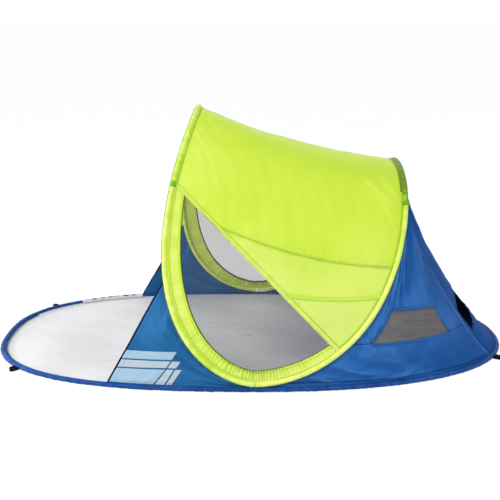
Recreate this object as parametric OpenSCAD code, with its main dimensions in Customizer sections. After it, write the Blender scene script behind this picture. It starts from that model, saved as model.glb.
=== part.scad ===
// Pop-up beach shelter: two crossing sprung hoops carry a lime canopy, blue
// wings and a closed blue tail over a floor sheet that runs on as an open apron.
// +X is the tail, -X the apron, +Z up. The origin is the middle of the floor.

/* [Floor] */
// Overall length of the floor oval
shelter_l = 1950; // [1560:10:2340]
// Overall width of the floor oval
shelter_w = 1100; // [900:10:1320]
// Squareness of the apron end of the oval, where 2 is an ellipse
apron_square = 2.6; // [2.2:0.1:3]
// Squareness of the tail end of the oval
tail_square = 2.25; // [2:0.05:3]

/* [Hoops] */
// Height of the middle of the front hoop's sleeve above the floor
front_hoop_h = 910; // [755:5:1095]
// Height of the middle of the rear hoop's sleeve above the floor
rear_hoop_h = 705; // [590:5:845]
// How far the top of the front hoop stands forward of the middle
front_top_x = 195; // [160:5:235]
// How far the top of the rear hoop stands behind the middle
rear_top_x = 552; // [460:5:660]
// How far behind the middle the hoops cross at the floor
foot_x = 20; // [0:1:40]
// Outer diameter of every sleeved hoop wire
sleeve_d = 18; // [15:0.5:21]

/* [Cloth] */
// Thickness of the cloth panels
cloth_t = 3; // [2.5:0.1:3.6]
// Thickness of the mesh screens
mesh_t = 2; // [1.6:0.1:2.4]
// Thickness of the floor sheet
floor_t = 3; // [2.5:0.1:3.6]
// Dip of the roof between the hoops
roof_sag = 35; // [28:1:42]
// Width of the gusset between the hoops and the side mesh, high up
gusset_w = 54; // [47:1:66]
// Width of the gusset at the foot
gusset_foot_w = 38; // [32:1:45]
// Clearance between neighbouring pieces
seam_gap = 0.3; // [0.2:0.05:0.4]

/* [Trim] */
// Width of the tape that forms the peg loops
tape_w = 20; // [16:1:24]
// Thickness of the tape
tape_t = 2.4; // [2:0.1:3]
// Reach of a peg loop beyond the rim
loop_reach = 30; // [25:1:36]
// Length of a tie patch along its hoop
tie_l = 16; // [13:0.5:19]
// Width of the bound edge on a wing
binding_w = 9; // [7.5:0.5:11]

/* [Hidden] */

lime = "#d8f24e";
lime_sleeve = "#b9dc3e";
blue = "#2f66ab";
rim_blue = "#28529a";
silver = "#d9dbdd";
mesh_grey = "#6f7476";
tape_black = "#15171c";

tube_r = sleeve_d / 2;
tube_sides = 12;
tube_ring_r = tube_r / cos(180 / tube_sides);
axis_gap = tube_ring_r + seam_gap;          // from a hoop's axis to a cloth edge
rim_a = shelter_l / 2 - tube_r;
rim_b = shelter_w / 2 - tube_r;
hoop_z = 2 * tube_r + seam_gap + tube_ring_r;

// ---- small helpers -------------------------------------------------------

function unit(v) = v / norm(v);
function lerp(a, b, t) = a + (b - a) * t;
function across(v, t) = unit(v - t * (v * t));
function bezier(p, t) =
    len(p) == 1 ? p[0] : bezier([for (i = [0:len(p) - 2]) lerp(p[i], p[i + 1], t)], t);
function flip(p) = [p[0], -p[1], p[2]];
function reversed(l) = [for (i = [len(l) - 1:-1:0]) l[i]];

// ---- the curves ----------------------------------------------------------

// The near half of each hoop runs from its foot, s = 0, to its top, s = 1.
foot_gap = 1.2;                 // half the gap between the two hoops' feet
front_ctrl = [
    [foot_x - foot_gap, -rim_b, hoop_z],
    [foot_x - 118, -rim_b, hoop_z],
    [-2.77 * front_top_x, -0.78 * rim_b, 0.174 * front_hoop_h],
    [-1.22 * front_top_x, -0.705 * rim_b, 0.845 * front_hoop_h],
    [-front_top_x, -0.475 * rim_b, front_hoop_h],
    [-front_top_x, 0, front_hoop_h]
];
rear_ctrl = [
    [foot_x + foot_gap, -rim_b, hoop_z],
    [foot_x + 116, -rim_b, hoop_z],
    [0.937 * rear_top_x, -0.963 * rim_b, 0.129 * rear_hoop_h],
    [1.003 * rear_top_x, -0.772 * rim_b, 0.692 * rear_hoop_h],
    [rear_top_x, -0.7 * rim_b, rear_hoop_h],
    [rear_top_x, 0, rear_hoop_h]
];
samples = 40;                   // straight lengths in half a hoop, shared by all panels
step = 1 / samples;
front_pts = [for (i = [0:samples]) bezier(front_ctrl, i * step)];
rear_pts = [for (i = [0:samples]) bezier(rear_ctrl, i * step)];
function along(pts, s) =
    let (x = s * samples, i = min(floor(x), samples - 1))
    lerp(pts[i], pts[i + 1], x - i);
function front(s) = along(front_pts, s);
function rear(s) = along(rear_pts, s);

// The rim on the floor, q degrees round from the tail, 180 at the apron's nose.
function rim(q) =
    let (n = cos(q) < 0 ? apron_square : tail_square)
    let (k = pow(pow(abs(cos(q)), n) + pow(abs(sin(q)), n), -1 / n))
    [rim_a * cos(q) * k, rim_b * sin(q) * k, tube_r];

foot_q = -90;                   // the near crossing, on the rim
tie_s = 26 * step;              // where the front gusset starts, on the front hoop
hem_s = 12 * step;              // where the canopy's free hem meets the rear hoop
wing_s = 17 * step;             // top of a wing's free edge
ridge_s = 31 * step;            // top of a tail ridge
wing_low_s = 3 * step;          // where a wing starts above the crossing
wall_low_s = 4 * step;          // where a tail wall starts above the crossing
apron_q0 = -91.8;               // where a wing starts on the rim
wall_q0 = -84;                  // where a tail wall starts on the rim
wing_q = -118.6;                // foot of a wing's free edge on the rim
ridge_q = -23;                  // foot of a tail ridge on the rim
q_gap = 0.09;                   // half the gap where two lengths of rim meet

function clamp(s) = max(0, min(1, s));
function hoop_dir(pts, s) =
    unit(along(pts, clamp(s + step / 2)) - along(pts, clamp(s - step / 2)));
function front_dir(s) = hoop_dir(front_pts, s);
function rear_dir(s) = hoop_dir(rear_pts, s);
function rim_dir(q) = unit(rim(q + 0.2) - rim(q - 0.2));

// A hoop's point moved off its axis towards another point, square to the hoop.
slant_room = 1.2;               // more room where cloth meets a sleeve at a slant
function off_front(s, to) = front(s) + axis_gap * across(to - front(s), front_dir(s));
function off_rear(s, to, more = 0) =
    rear(s) + (axis_gap + more) * across(to - rear(s), rear_dir(s));
function off_rim(q, to, more = 0) =
    rim(q) + (axis_gap + more) * across(to - rim(q), rim_dir(q));

// ---- solids --------------------------------------------------------------

function grid_n(g) = len(g) - 1;
function grid_m(g) = len(g[0]) - 1;
function grid_normal(g, i, j) =
    let (n = grid_n(g), m = grid_m(g))
    unit(cross(g[min(i + 1, n)][j] - g[max(i - 1, 0)][j],
               g[i][min(j + 1, m)] - g[i][max(j - 1, 0)]));

// A closed sheet of even thickness on a grid of points. hole = [i0, i1, j0, j1]
// leaves those cells out.
module sheet(g, t, hole = [0, 0, 0, 0]) {
    n = grid_n(g);
    m = grid_m(g);
    w = m + 1;
    total = (n + 1) * w;
    upper = [for (i = [0:n]) for (j = [0:m]) g[i][j] + grid_normal(g, i, j) * t / 2];
    lower = [for (i = [0:n]) for (j = [0:m]) g[i][j] - grid_normal(g, i, j) * t / 2];
    i0 = hole[0];
    i1 = hole[1];
    j0 = hole[2];
    j1 = hole[3];
    function open(i, j) = i >= i0 && i < i1 && j >= j0 && j < j1;
    cells = [for (i = [0:n - 1]) for (j = [0:m - 1]) if (!open(i, j)) [i, j]];
    function k(i, j) = i * w + j;
    top = [for (c = cells) let (i = c[0], j = c[1])
        each [[k(i, j), k(i, j + 1), k(i + 1, j + 1)], [k(i, j), k(i + 1, j + 1), k(i + 1, j)]]];
    bottom = [for (f = top) [f[0] + total, f[2] + total, f[1] + total]];
    // each wall runs round the cells with the cloth on its left
    outer = [
        for (j = [0:m - 1]) [k(0, j + 1), k(0, j)],
        for (i = [0:n - 1]) [k(i + 1, m), k(i, m)],
        for (j = [0:m - 1]) [k(n, j), k(n, j + 1)],
        for (i = [0:n - 1]) [k(i, 0), k(i + 1, 0)]
    ];
    inner = i1 > i0 ? [
        for (j = [j0:j1 - 1]) [k(i0, j), k(i0, j + 1)],
        for (i = [i0:i1 - 1]) [k(i, j1), k(i + 1, j1)],
        for (j = [j0:j1 - 1]) [k(i1, j + 1), k(i1, j)],
        for (i = [i0:i1 - 1]) [k(i + 1, j0), k(i, j0)]
    ] : [];
    walls = [for (e = concat(outer, inner))
        each [[e[0], e[1], e[1] + total], [e[0], e[1] + total, e[0] + total]]];
    polyhedron(concat(upper, lower), concat(top, bottom, walls), convexity = 8);
}

// A round sleeve along a path. Its flats face away from the point hub.
module sleeve(path, hub) {
    n = len(path) - 1;
    function dir(i) = unit(path[min(i + 1, n)] - path[max(i - 1, 0)]);
    rings = [for (i = [0:n])
        let (t = dir(i), u = across(path[i] - hub, t), v = cross(t, u))
        for (a = [0:tube_sides - 1])
        let (ang = (a + 0.5) * 360 / tube_sides)
        path[i] + tube_ring_r * (cos(ang) * u + sin(ang) * v)];
    function k(i, a) = i * tube_sides + (a % tube_sides);
    skin = [for (i = [0:n - 1]) for (a = [0:tube_sides - 1])
        each [[k(i, a), k(i + 1, a), k(i + 1, a + 1)], [k(i, a), k(i + 1, a + 1), k(i, a + 1)]]];
    ends = [[for (a = [0:tube_sides - 1]) a], [for (a = [tube_sides - 1:-1:0]) k(n, a)]];
    polyhedron(rings, concat(skin, ends), convexity = 6);
}

// ---- floor and rim -------------------------------------------------------

// Sample angles round the rim. The wings, walls and tail panel use them too.
apron_n = 14;
nose_n = 24;
wall_n = 14;
end_n = 18;
apron_q = [for (i = [0:apron_n]) lerp(apron_q0, wing_q, i / apron_n)];
nose_q = [for (i = [0:nose_n]) lerp(wing_q, -360 - wing_q, i / nose_n)];
wall_q = [for (i = [0:wall_n]) lerp(wall_q0, ridge_q, i / wall_n)];
end_q = [for (i = [0:end_n]) lerp(ridge_q, -ridge_q, i / end_n)];

sheet_inset = sqrt(pow(axis_gap, 2) - pow(tube_r - floor_t, 2));
function inset_rim(q) =
    let (t = rim_dir(q), p = rim(q))
    [p[0] - sheet_inset * t[1], p[1] + sheet_inset * t[0]];
floor_side = [for (q = concat(reversed(wall_q), [foot_q], apron_q)) inset_rim(q)];
floor_nose = [for (i = [1:nose_n - 1]) inset_rim(nose_q[i])];
floor_end = [for (i = [1:end_n - 1]) inset_rim(end_q[i])];

module floor_sheet() {
    far_side = [for (p = reversed(floor_side)) [p[0], -p[1]]];
    color(silver) linear_extrude(floor_t)
        polygon(concat(floor_side, floor_nose, far_side, reversed(floor_end)));
}

below = [0, 0, -1e6];
module rim_length(qs) { color(rim_blue) sleeve([for (q = qs) rim(q)], below); }
module rim_apron() { rim_length(concat([foot_q - q_gap], apron_q)); }
module rim_tail() { rim_length(concat([foot_q + q_gap], wall_q)); }
function trimmed(qs, gap) =
    concat([qs[0] + gap], [for (i = [1:len(qs) - 2]) qs[i]], [qs[len(qs) - 1] - gap]);
module rim_apron_near() { rim_apron(); }
module rim_apron_far() { mirror([0, 1, 0]) rim_apron(); }
module rim_apron_nose() { rim_length(trimmed(nose_q, -q_gap)); }
module rim_tail_near() { rim_tail(); }
module rim_tail_far() { mirror([0, 1, 0]) rim_tail(); }
module rim_tail_end() { rim_length(trimmed(end_q, q_gap)); }

// ---- hoops ---------------------------------------------------------------

hoop_hub = [foot_x, 0, 350];
end_s = 0.0005;                 // half the gap where two lengths of sleeve meet
function hoop_length(pts, s0, s1) =
    let (i0 = round(s0 * samples), i1 = round(s1 * samples))
    concat([along(pts, s0)], [for (i = [i0 + 1:i1 - 1]) pts[i]], [along(pts, s1)]);
function over_top(half) = concat(half, [for (i = [len(half) - 2:-1:0]) flip(half[i])]);

module hoop_sleeve(path) { color(lime_sleeve) sleeve(path, hoop_hub); }
module front_hoop_near() { hoop_sleeve(hoop_length(front_pts, 0, tie_s - end_s)); }
module front_hoop_far() { mirror([0, 1, 0]) front_hoop_near(); }
module front_hoop_top() { hoop_sleeve(over_top(hoop_length(front_pts, tie_s + end_s, 1))); }
module rear_hoop_near() { hoop_sleeve(hoop_length(rear_pts, 0, ridge_s - end_s)); }
module rear_hoop_far() { mirror([0, 1, 0]) rear_hoop_near(); }
module rear_hoop_top() { hoop_sleeve(over_top(hoop_length(rear_pts, ridge_s + end_s, 1))); }

// ---- canopy --------------------------------------------------------------

// The canopy is strung between the hoops above a straight free hem, where
// v = 0, up to the top line of the roof, v = 1. u runs from front to rear hoop.
sag_height = 0.35;              // the roof dips towards this share of the front hoop
function front_at(v) = lerp(tie_s, 1, v);
function rear_at(v) = lerp(hem_s, 1, v);
function canopy_front(v) = off_front(front_at(v), rear(rear_at(v)));
function canopy_rear(v) = off_rear(rear_at(v), front(front_at(v)));
function canopy(u, v) =
    let (p = lerp(canopy_front(v), canopy_rear(v), u))
    let (inward = unit([foot_x - p[0], -p[1], sag_height * front_hoop_h - p[2]]))
    p + 4 * u * (1 - u) * roof_sag * v * v * inward;

roof_rows = samples - round(hem_s * samples);
seam_u = [0.24, 0.66];          // where the two side seams leave the hem
seam_v = [0.4, 0.28];           // where they reach the rear hoop
seam_eps = 0.0005;              // half of a seam's gap, as a share of the canopy
seam_a = [0, 0.16, 0.34, 0.53, 0.68, 0.84, 1];      // samples along a seam
function seam_point(i, a) = [lerp(seam_u[i], 1, a), seam_v[i] * a];

roof_u = concat([0, 0.12], [for (a = seam_a) seam_point(0, a)[0]]);
roof_low_v = concat([0, 0], [for (a = seam_a) seam_point(0, a)[1]]);
roof_half = [for (i = [0:roof_rows])
    [for (j = [0:len(roof_u) - 1])
        canopy(roof_u[j], lerp(roof_low_v[j] + seam_eps, 1, i / roof_rows))]];

module canopy_roof() { color(lime) sheet(over_top_rows(roof_half), cloth_t); }
function over_top_rows(half) =
    concat(half, [for (i = [len(half) - 2:-1:0]) [for (p = half[i]) flip(p)]]);

// A panel between two lines of (u, v), k = 0 on the lower and 1 on the upper
side_rows = 4;
side_k = 0.003;                 // a panel stops this share inside its seams
corner_a = 0.03;                // where along its seam the corner panel starts
module canopy_side_near() {
    color(lime) sheet([for (a = seam_a)
        [for (j = [0:side_rows])
            let (k = lerp(side_k, 1 - side_k, j / side_rows))
            let (c = lerp(seam_point(1, a), seam_point(0, a), k))
            canopy(c[0], max(c[1], seam_eps))]], cloth_t);
}
module canopy_side_far() { mirror([0, 1, 0]) canopy_side_near(); }
module canopy_corner_near() {
    color(lime) sheet([for (a = concat([corner_a], [for (i = [1:len(seam_a) - 1]) seam_a[i]]))
        [for (j = [0:side_rows])
            let (c = seam_point(1, a))
            canopy(c[0], lerp(seam_eps, max(c[1] - seam_eps, 4 * seam_eps), j / side_rows))]],
        cloth_t);
}
module canopy_corner_far() { mirror([0, 1, 0]) canopy_corner_near(); }

// ---- side opening: gusset and mesh ---------------------------------------

hem_front = canopy_front(0);
hem_rear = canopy_rear(0);
hem_way = unit(hem_rear - hem_front);
hem_len = norm(hem_rear - hem_front);
// a point in the middle of the opening, which the gusset's width runs towards
opening_mid = lerp([foot_x, -rim_b, hoop_z], lerp(hem_front, hem_rear, 0.5), 0.65);
gusset_end = [45, 32];          // its width along the hem, at each end
widen = 1.6;                    // how fast the gusset widens above the foot

// The gusset's outer edge follows the front hoop down from the tie, k = 0 to
// 26, round the crossing and up the rear hoop to the hem, k = 26 to 38.
front_k = round(tie_s * samples);
rear_k = round(hem_s * samples);
all_k = front_k + rear_k;
function gusset_outer(k) = k <= front_k
    ? off_front((front_k - k) * step, opening_mid)
    : off_rear((k - front_k) * step, opening_mid);
function gusset_dir(k) = abs(k - front_k) < 1 ? [1, 0, 0]
    : k < front_k ? -front_dir((front_k - k) * step) : rear_dir((k - front_k) * step);
function gusset_inner(k) =
    let (is_front = k <= front_k)
    let (share = is_front ? (front_k - k) / front_k : (k - front_k) / rear_k)
    let (blend = pow(share, 4))
    let (p = gusset_outer(k))
    let (square = across(opening_mid - p, gusset_dir(k)))
    let (way = unit(lerp(square, is_front ? hem_way : -hem_way, blend)))
    let (high = is_front ? clamp(widen * share) : 0)
    let (w = lerp(gusset_foot_w, gusset_w, high * high * (3 - 2 * high)))
    p + lerp(w, is_front ? gusset_end[0] : gusset_end[1], blend) * way;

gusset_cols = 3;
module gusset(ks) {
    color(lime) sheet([for (k = ks)
        [for (j = [0:gusset_cols]) lerp(gusset_outer(k), gusset_inner(k), j / gusset_cols)]],
        cloth_t);
}
end_k = 0.02;                   // keeps a gusset's ends off the canopy
k_gap = 0.12;                   // half the gap between the gussets, in samples
module gusset_front_near() {
    gusset(concat([end_k], [for (k = [1:front_k - 1]) k], [front_k - k_gap]));
}
module gusset_front_far() { mirror([0, 1, 0]) gusset_front_near(); }
module gusset_rear_near() {
    gusset(concat([front_k + k_gap], [for (k = [front_k + 1:all_k - 1]) k], [all_k - end_k]));
}
module gusset_rear_far() { mirror([0, 1, 0]) gusset_rear_near(); }

mesh_rows = 4;
mesh_gap = 0.9;                 // room round a side screen for the gusset's thickness
mesh_end = 0.3;                 // a side screen stops this many samples inside its ends
function mesh_top(k) =
    let (a = lerp(gusset_end[0], hem_len - gusset_end[1], k / all_k))
    hem_front + a * hem_way;
function mesh_column(k) =
    let (p0 = gusset_inner(k), p1 = mesh_top(k), d = norm(p1 - p0))
    let (g = min(0.3, mesh_gap / d))
    [for (j = [0:mesh_rows]) lerp(p0, p1, lerp(g, 1 - g, j / mesh_rows))];
module side_mesh_near() {
    color(mesh_grey) sheet([for (k = concat([mesh_end], [for (i = [1:all_k - 1]) i], [all_k - mesh_end]))
        mesh_column(k)], mesh_t);
}
module side_mesh_far() { mirror([0, 1, 0]) side_mesh_near(); }

// ---- front wings ---------------------------------------------------------

wing_rows = 6;
function wing_column(s, q) =
    let (p0 = off_front(s, rim(q)), p1 = off_rim(q, front(s)))
    [for (j = [0:wing_rows]) lerp(p0, p1, j / wing_rows)];
module wing_near() {
    color(blue) sheet([for (i = [0:apron_n]) wing_column(wing_low_s + i * step, apron_q[i])], cloth_t);
}
module wing_far() { mirror([0, 1, 0]) wing_near(); }

// The binding runs on from the wing's free edge for its own width.
hoop_reach = 1250;              // rough length of half a hoop
rim_reach = 14;                 // rough length of a degree of rim here
binding_gap = 0.4;              // between the wing's cloth and its binding
binding_extra = 1.5;            // how much thicker the binding is than the cloth
module wing_binding_near() {
    color(tape_black) sheet([for (d = [binding_gap, binding_gap + binding_w])
        wing_column(wing_s + d / hoop_reach, wing_q - d / rim_reach)], cloth_t + binding_extra);
}
module wing_binding_far() { mirror([0, 1, 0]) wing_binding_near(); }

// ---- tail ----------------------------------------------------------------

ridge_ctrl = [
    off_rear(ridge_s, [rear_top_x + 150, -0.5 * rim_b, 0.5 * rear_hoop_h]),
    [rear_top_x - 9, -0.508 * rim_b, 0.71 * rear_hoop_h],
    [0.828 * rim_a, -0.5 * rim_b, 0.142 * rear_hoop_h],
    off_rim(ridge_q, [0.7 * rim_a, -0.4 * rim_b, 200], slant_room)
];
function ridge(h) = bezier(ridge_ctrl, 1 - h);
fold_gap = 1.8;                 // pulls cloth back where two panels meet at a fold

wall_rows = round((ridge_s - wall_low_s) * samples);
function wall_edge(h) = off_rear(lerp(wall_low_s, ridge_s, h), ridge(h), slant_room);
function wall_foot(i) = off_rim(wall_q[i], lerp(rear(0.35), ridge(0.5), i / wall_n), slant_room);
function wall_point(i, r) =
    let (w = i / wall_n, h = r / wall_rows)
    let (a = wall_edge(h), b = ridge(h))
    let (back = min(max_back, fold_gap / norm(b - a)))
    let (bulge = wall_foot(i) - lerp(wall_foot(0), wall_foot(wall_n), w))
    let (corner = wall_foot(0) - wall_edge(0))
    lerp(a, b, w * (1 - back)) + (1 - h) * bulge + (1 - w) * pow(1 - h, corner_power) * corner;
corner_power = 40;              // keeps the corner's pull next to the rim
max_back = 0.4;                 // most of a row that a fold may take
row_end = 0.25;                 // a wall stops this share of a row short of the tie
window = [3, 9, 9, 13];         // columns and rows of the wall that it takes
screen_in = 0.02;               // a screen stops this share of a cell inside its frame
function inset_list(a, b) =
    concat([a + screen_in], [for (i = [a + 1:b - 1]) i], [b - screen_in]);
function wall_at(x, r) =
    let (i = min(floor(x), wall_n - 1))
    lerp(wall_point(i, r), wall_point(i + 1, r), x - i);

module tail_wall_near() {
    color(blue) sheet([for (i = [0:wall_n])
        [for (r = [0:wall_rows]) wall_point(i, min(r, wall_rows - row_end))]], cloth_t, window);
}
module tail_wall_far() { mirror([0, 1, 0]) tail_wall_near(); }
module tail_window_near() {
    color(mesh_grey) sheet([for (x = inset_list(window[0], window[1]))
        [for (r = inset_list(window[2], window[3])) wall_at(x, r)]], mesh_t);
}
module tail_window_far() { mirror([0, 1, 0]) tail_window_near(); }

// The end panel hangs from the crown of the rear hoop, between the two ridges.
panel_rows = 14;
panel_sag = 20;                 // how far the middle of the panel hangs in
function panel_top(i) =
    let (k = i <= end_n / 2 ? i : end_n - i)
    let (p = off_rear(ridge_s + k * step, [rear_top_x + 150, -0.3 * rim_b, 0.4 * rear_hoop_h]))
    i <= end_n / 2 ? p : flip(p);
function panel_foot(i) =
    off_rim(end_q[i], [0.7 * rim_a, 0, 250], slant_room);
function panel_at(x, r) =
    let (i = min(floor(x), end_n - 1), f = x - i)
    let (top = lerp(panel_top(i), panel_top(i + 1), f))
    let (foot = lerp(panel_foot(i), panel_foot(i + 1), f))
    let (u = x / end_n, v = r / panel_rows)
    let (side0 = ridge(1 - v) - lerp(panel_top(0), panel_foot(0), v))
    let (side1 = flip(ridge(1 - v)) - lerp(panel_top(end_n), panel_foot(end_n), v))
    let (sag = panel_sag * 16 * u * (1 - u) * v * (1 - v))
    lerp(top, foot, v) + (1 - u) * side0 + u * side1 - [sag, 0, 0];
vent = [2, end_n - 2, 9, 11];   // columns and rows of the panel that it takes
function panel_cols(r) =
    let (w = norm(ridge(1 - r / panel_rows) - flip(ridge(1 - r / panel_rows))))
    let (x = end_n * fold_gap / w)
    concat([x], [for (i = [1:end_n - 1]) i], [end_n - x]);
panel_grid = [for (i = [0:end_n])
    [for (r = [0:panel_rows]) panel_at(panel_cols(r)[i], r)]];

module tail_panel() { color(blue) sheet(panel_grid, cloth_t, vent); }
module tail_vent() {
    color(mesh_grey) sheet([for (x = inset_list(vent[0], vent[1]))
        [for (r = inset_list(vent[2], vent[3])) panel_at(x, r)]], mesh_t);
}

// ---- trim ----------------------------------------------------------------

// A tape loop on edge, its two ends against the rim at q.
loop_w = 22;                    // outer width of a peg loop
loop_seat = tube_r + seam_gap;  // from the rim's axis to a loop's ends
module peg_loop(q) {
    t = rim_dir(q);
    color(tape_black)
        translate(rim(q) - [0, 0, tube_r])
            rotate([0, 0, atan2(-t[0], t[1])])
                linear_extrude(tape_w) difference() {
                    loop_outline(loop_w, loop_reach);
                    loop_outline(loop_w - 2 * tape_t, loop_reach - tape_t);
                }
}
module loop_outline(w, reach) {
    intersection() {
        union() {
            translate([loop_seat, -w / 2]) square([reach - w / 2, w]);
            translate([loop_seat + reach - w / 2, 0]) circle(d = w, $fn = 32);
        }
        translate([loop_seat, -w / 2]) square([reach, w]);
    }
}
front_peg = 5;                  // the sample of the nose that the front loops are at
module peg_loop_front_near() { peg_loop(nose_q[front_peg]); }
module peg_loop_front_far() { mirror([0, 1, 0]) peg_loop_front_near(); }
module peg_loop_rear_near() { peg_loop(ridge_q); }
module peg_loop_rear_far() { mirror([0, 1, 0]) peg_loop_rear_near(); }

// A patch of tape round the outside of a hoop, turned away from a point.
module hoop_tie(pts, s, from, half_turn) {
    ds = tie_l / 2 / hoop_reach;
    r = axis_gap + tape_t / 2;
    turns = 8;
    color(lime_sleeve) sheet([for (si = [s - ds, s, s + ds])
        let (t = hoop_dir(pts, s), p = along(pts, si))
        let (out = across(p - from, t), side = cross(t, out))
        [for (i = [0:turns])
            let (a = lerp(-half_turn, half_turn, i / turns))
            p + r * (cos(a) * out + sin(a) * side)]], tape_t);
}
module hoop_tie_front_near() { hoop_tie(front_pts, tie_s, rear(rear_at(0)), 95); }
module hoop_tie_front_far() { mirror([0, 1, 0]) hoop_tie_front_near(); }
module hoop_tie_rear_near() { hoop_tie(rear_pts, ridge_s, hoop_hub, 45); }
module hoop_tie_rear_far() { mirror([0, 1, 0]) hoop_tie_rear_near(); }

floor_sheet();
rim_apron_near();
rim_apron_nose();
rim_apron_far();
rim_tail_near();
rim_tail_end();
rim_tail_far();
front_hoop_near();
front_hoop_top();
front_hoop_far();
rear_hoop_near();
rear_hoop_top();
rear_hoop_far();
canopy_roof();
canopy_side_near();
canopy_side_far();
canopy_corner_near();
canopy_corner_far();
gusset_front_near();
gusset_front_far();
gusset_rear_near();
gusset_rear_far();
side_mesh_near();
side_mesh_far();
wing_near();
wing_far();
wing_binding_near();
wing_binding_far();
tail_wall_near();
tail_wall_far();
tail_window_near();
tail_window_far();
tail_panel();
tail_vent();
peg_loop_front_near();
peg_loop_front_far();
peg_loop_rear_near();
peg_loop_rear_far();
hoop_tie_front_near();
hoop_tie_front_far();
hoop_tie_rear_near();
hoop_tie_rear_far();
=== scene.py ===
import math
import bpy
import numpy as np
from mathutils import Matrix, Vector


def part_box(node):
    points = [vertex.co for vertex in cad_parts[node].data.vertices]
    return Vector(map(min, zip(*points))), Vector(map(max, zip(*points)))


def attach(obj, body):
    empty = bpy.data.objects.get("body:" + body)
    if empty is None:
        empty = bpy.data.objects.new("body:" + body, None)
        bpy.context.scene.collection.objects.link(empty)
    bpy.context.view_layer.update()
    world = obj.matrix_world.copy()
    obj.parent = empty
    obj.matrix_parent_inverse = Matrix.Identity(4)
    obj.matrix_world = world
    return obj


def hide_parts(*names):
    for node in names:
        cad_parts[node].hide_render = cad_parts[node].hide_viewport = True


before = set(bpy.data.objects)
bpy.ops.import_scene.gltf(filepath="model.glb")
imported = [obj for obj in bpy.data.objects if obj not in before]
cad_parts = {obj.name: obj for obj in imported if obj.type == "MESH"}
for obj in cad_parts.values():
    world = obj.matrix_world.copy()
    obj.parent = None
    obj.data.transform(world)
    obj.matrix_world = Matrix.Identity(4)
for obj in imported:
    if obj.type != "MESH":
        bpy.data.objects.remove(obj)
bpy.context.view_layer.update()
print("frame loaded,", len(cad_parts), "nodes")

# Sizes from the frame, in metres

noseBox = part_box("rim_apron_nose")
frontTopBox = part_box("front_hoop_top")
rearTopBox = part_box("rear_hoop_top")
fit = {                                                 # all in radii of a sleeve
    "frontLean": 1.03, "rearLean": 1.015,               # how far a leaning sleeve's box passes its axis
    "crossing": 3.07,                                   # height of a hoop's axis over the rim
    "seat": 0.86,                                       # cloth starts just inside a sleeve's skin
}
tubeR = noseBox[1].z / 2                                # radius of every sleeve
rimA = -noseBox[0].x - tubeR                            # half length of the rim's centre line
rimB = -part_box("rim_apron_near")[0].y - tubeR           # half width of it
frontH = frontTopBox[1].z - fit["frontLean"] * tubeR    # the hoops' highest points
frontX = fit["frontLean"] * tubeR - frontTopBox[1].x
rearH = rearTopBox[1].z - fit["rearLean"] * tubeR
rearX = rearTopBox[1].x - fit["rearLean"] * tubeR
footX = (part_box("front_hoop_near")[1].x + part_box("rear_hoop_near")[0].x) / 2
hoopZ = fit["crossing"] * tubeR
seat = fit["seat"] * tubeR
hoopSteps = 40                                          # steps up half a hoop, as in the CAD
hoopReach = 1.25                                        # rough length of half a hoop, in metres

shape = {
    "apronSquare": 2.6, "tailSquare": 2.25,             # squareness of the oval's two ends
    "tieS": 26 / hoopSteps, "hemS": 12 / hoopSteps,     # where the canopy's hem meets the hoops
    "wingLowS": 3 / hoopSteps, "wingS": 17 / hoopSteps,  # a wing's stretch of the front hoop
    "wallLowS": 4 / hoopSteps, "ridgeS": 31 / hoopSteps,  # a tail wall's stretch of the rear hoop
    "apronQ": -91.8, "wingQ": -118.6,                   # a wing's stretch of the rim, in degrees
    "wallQ": -84.0, "ridgeQ": -23.0,                    # a tail wall's stretch of the rim
    "footRise": 0.0012, "roofSag": 0.035,
    "gussetW": 0.054, "gussetFootW": 0.038, "gussetEnds": (0.045, 0.032),
    "seamU": (0.24, 0.66), "seamV": (0.4, 0.28),        # ends of the two seams on the canopy
}
insidePoint = np.array([0.25 * rimA, 0, 0.25 * frontH])  # outsides face away from it
upWay = np.array([0, 0, 1.0])
sides = {"near": False, "far": True}                    # the far side is the near one, mirrored

# Small tools


def mix(a, b, t):
    return a + (b - a) * t


def unit(v):
    return v / np.maximum(np.linalg.norm(v, axis=-1, keepdims=True), 1e-9)


def dot(a, b):
    return np.sum(a * b, axis=-1, keepdims=True)


def across(v, way):
    return unit(v - way * dot(v, way))                  # v with its part along way taken out


def smooth(x):
    x = np.clip(x, 0, 1)
    return x * x * (3 - 2 * x)


def fade(t, steep):
    # 1 over the middle, down to 0 at both ends
    return smooth(t * steep) * smooth((1 - t) * steep)


def column(t):
    return np.asarray(t, float)[..., None]


def lengthAlong(path):
    return np.concatenate([[0], np.cumsum(np.linalg.norm(np.diff(path, axis=0), axis=-1))])


def allRound(up, way, count):
    # angles round a path, each with its direction away from the path
    side = np.cross(way, up)
    turns = np.linspace(0, 2 * math.pi, count + 1)[:-1]
    return [(angle, math.cos(angle) * up + math.sin(angle) * side) for angle in turns]


def bezier(ctrl, t):
    rows = [np.asarray(p, float) + 0 * column(t) for p in ctrl]
    while len(rows) > 1:
        rows = [mix(a, b, column(t)) for a, b in zip(rows, rows[1:])]
    return rows[0]


def flipY(p):
    return p * np.array([1, -1, 1])


roundTurn = 6.28                                        # a turn in radians, near enough for random waves
waveCount = 7


def waves(x, y, seed, size):
    # soft random swell from -1 to 1, its waves about size metres long
    rng = np.random.default_rng(seed)
    total = 0
    for turn, phase, share in rng.uniform(0, 1, (waveCount, 3)):
        k = 2 * math.pi / (size * (0.6 + share))
        along = x * math.cos(turn * roundTurn) + y * math.sin(turn * roundTurn)
        total = total + np.sin(k * along + phase * roundTurn)
    return total / waveCount ** 0.5 / 1.4


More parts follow.
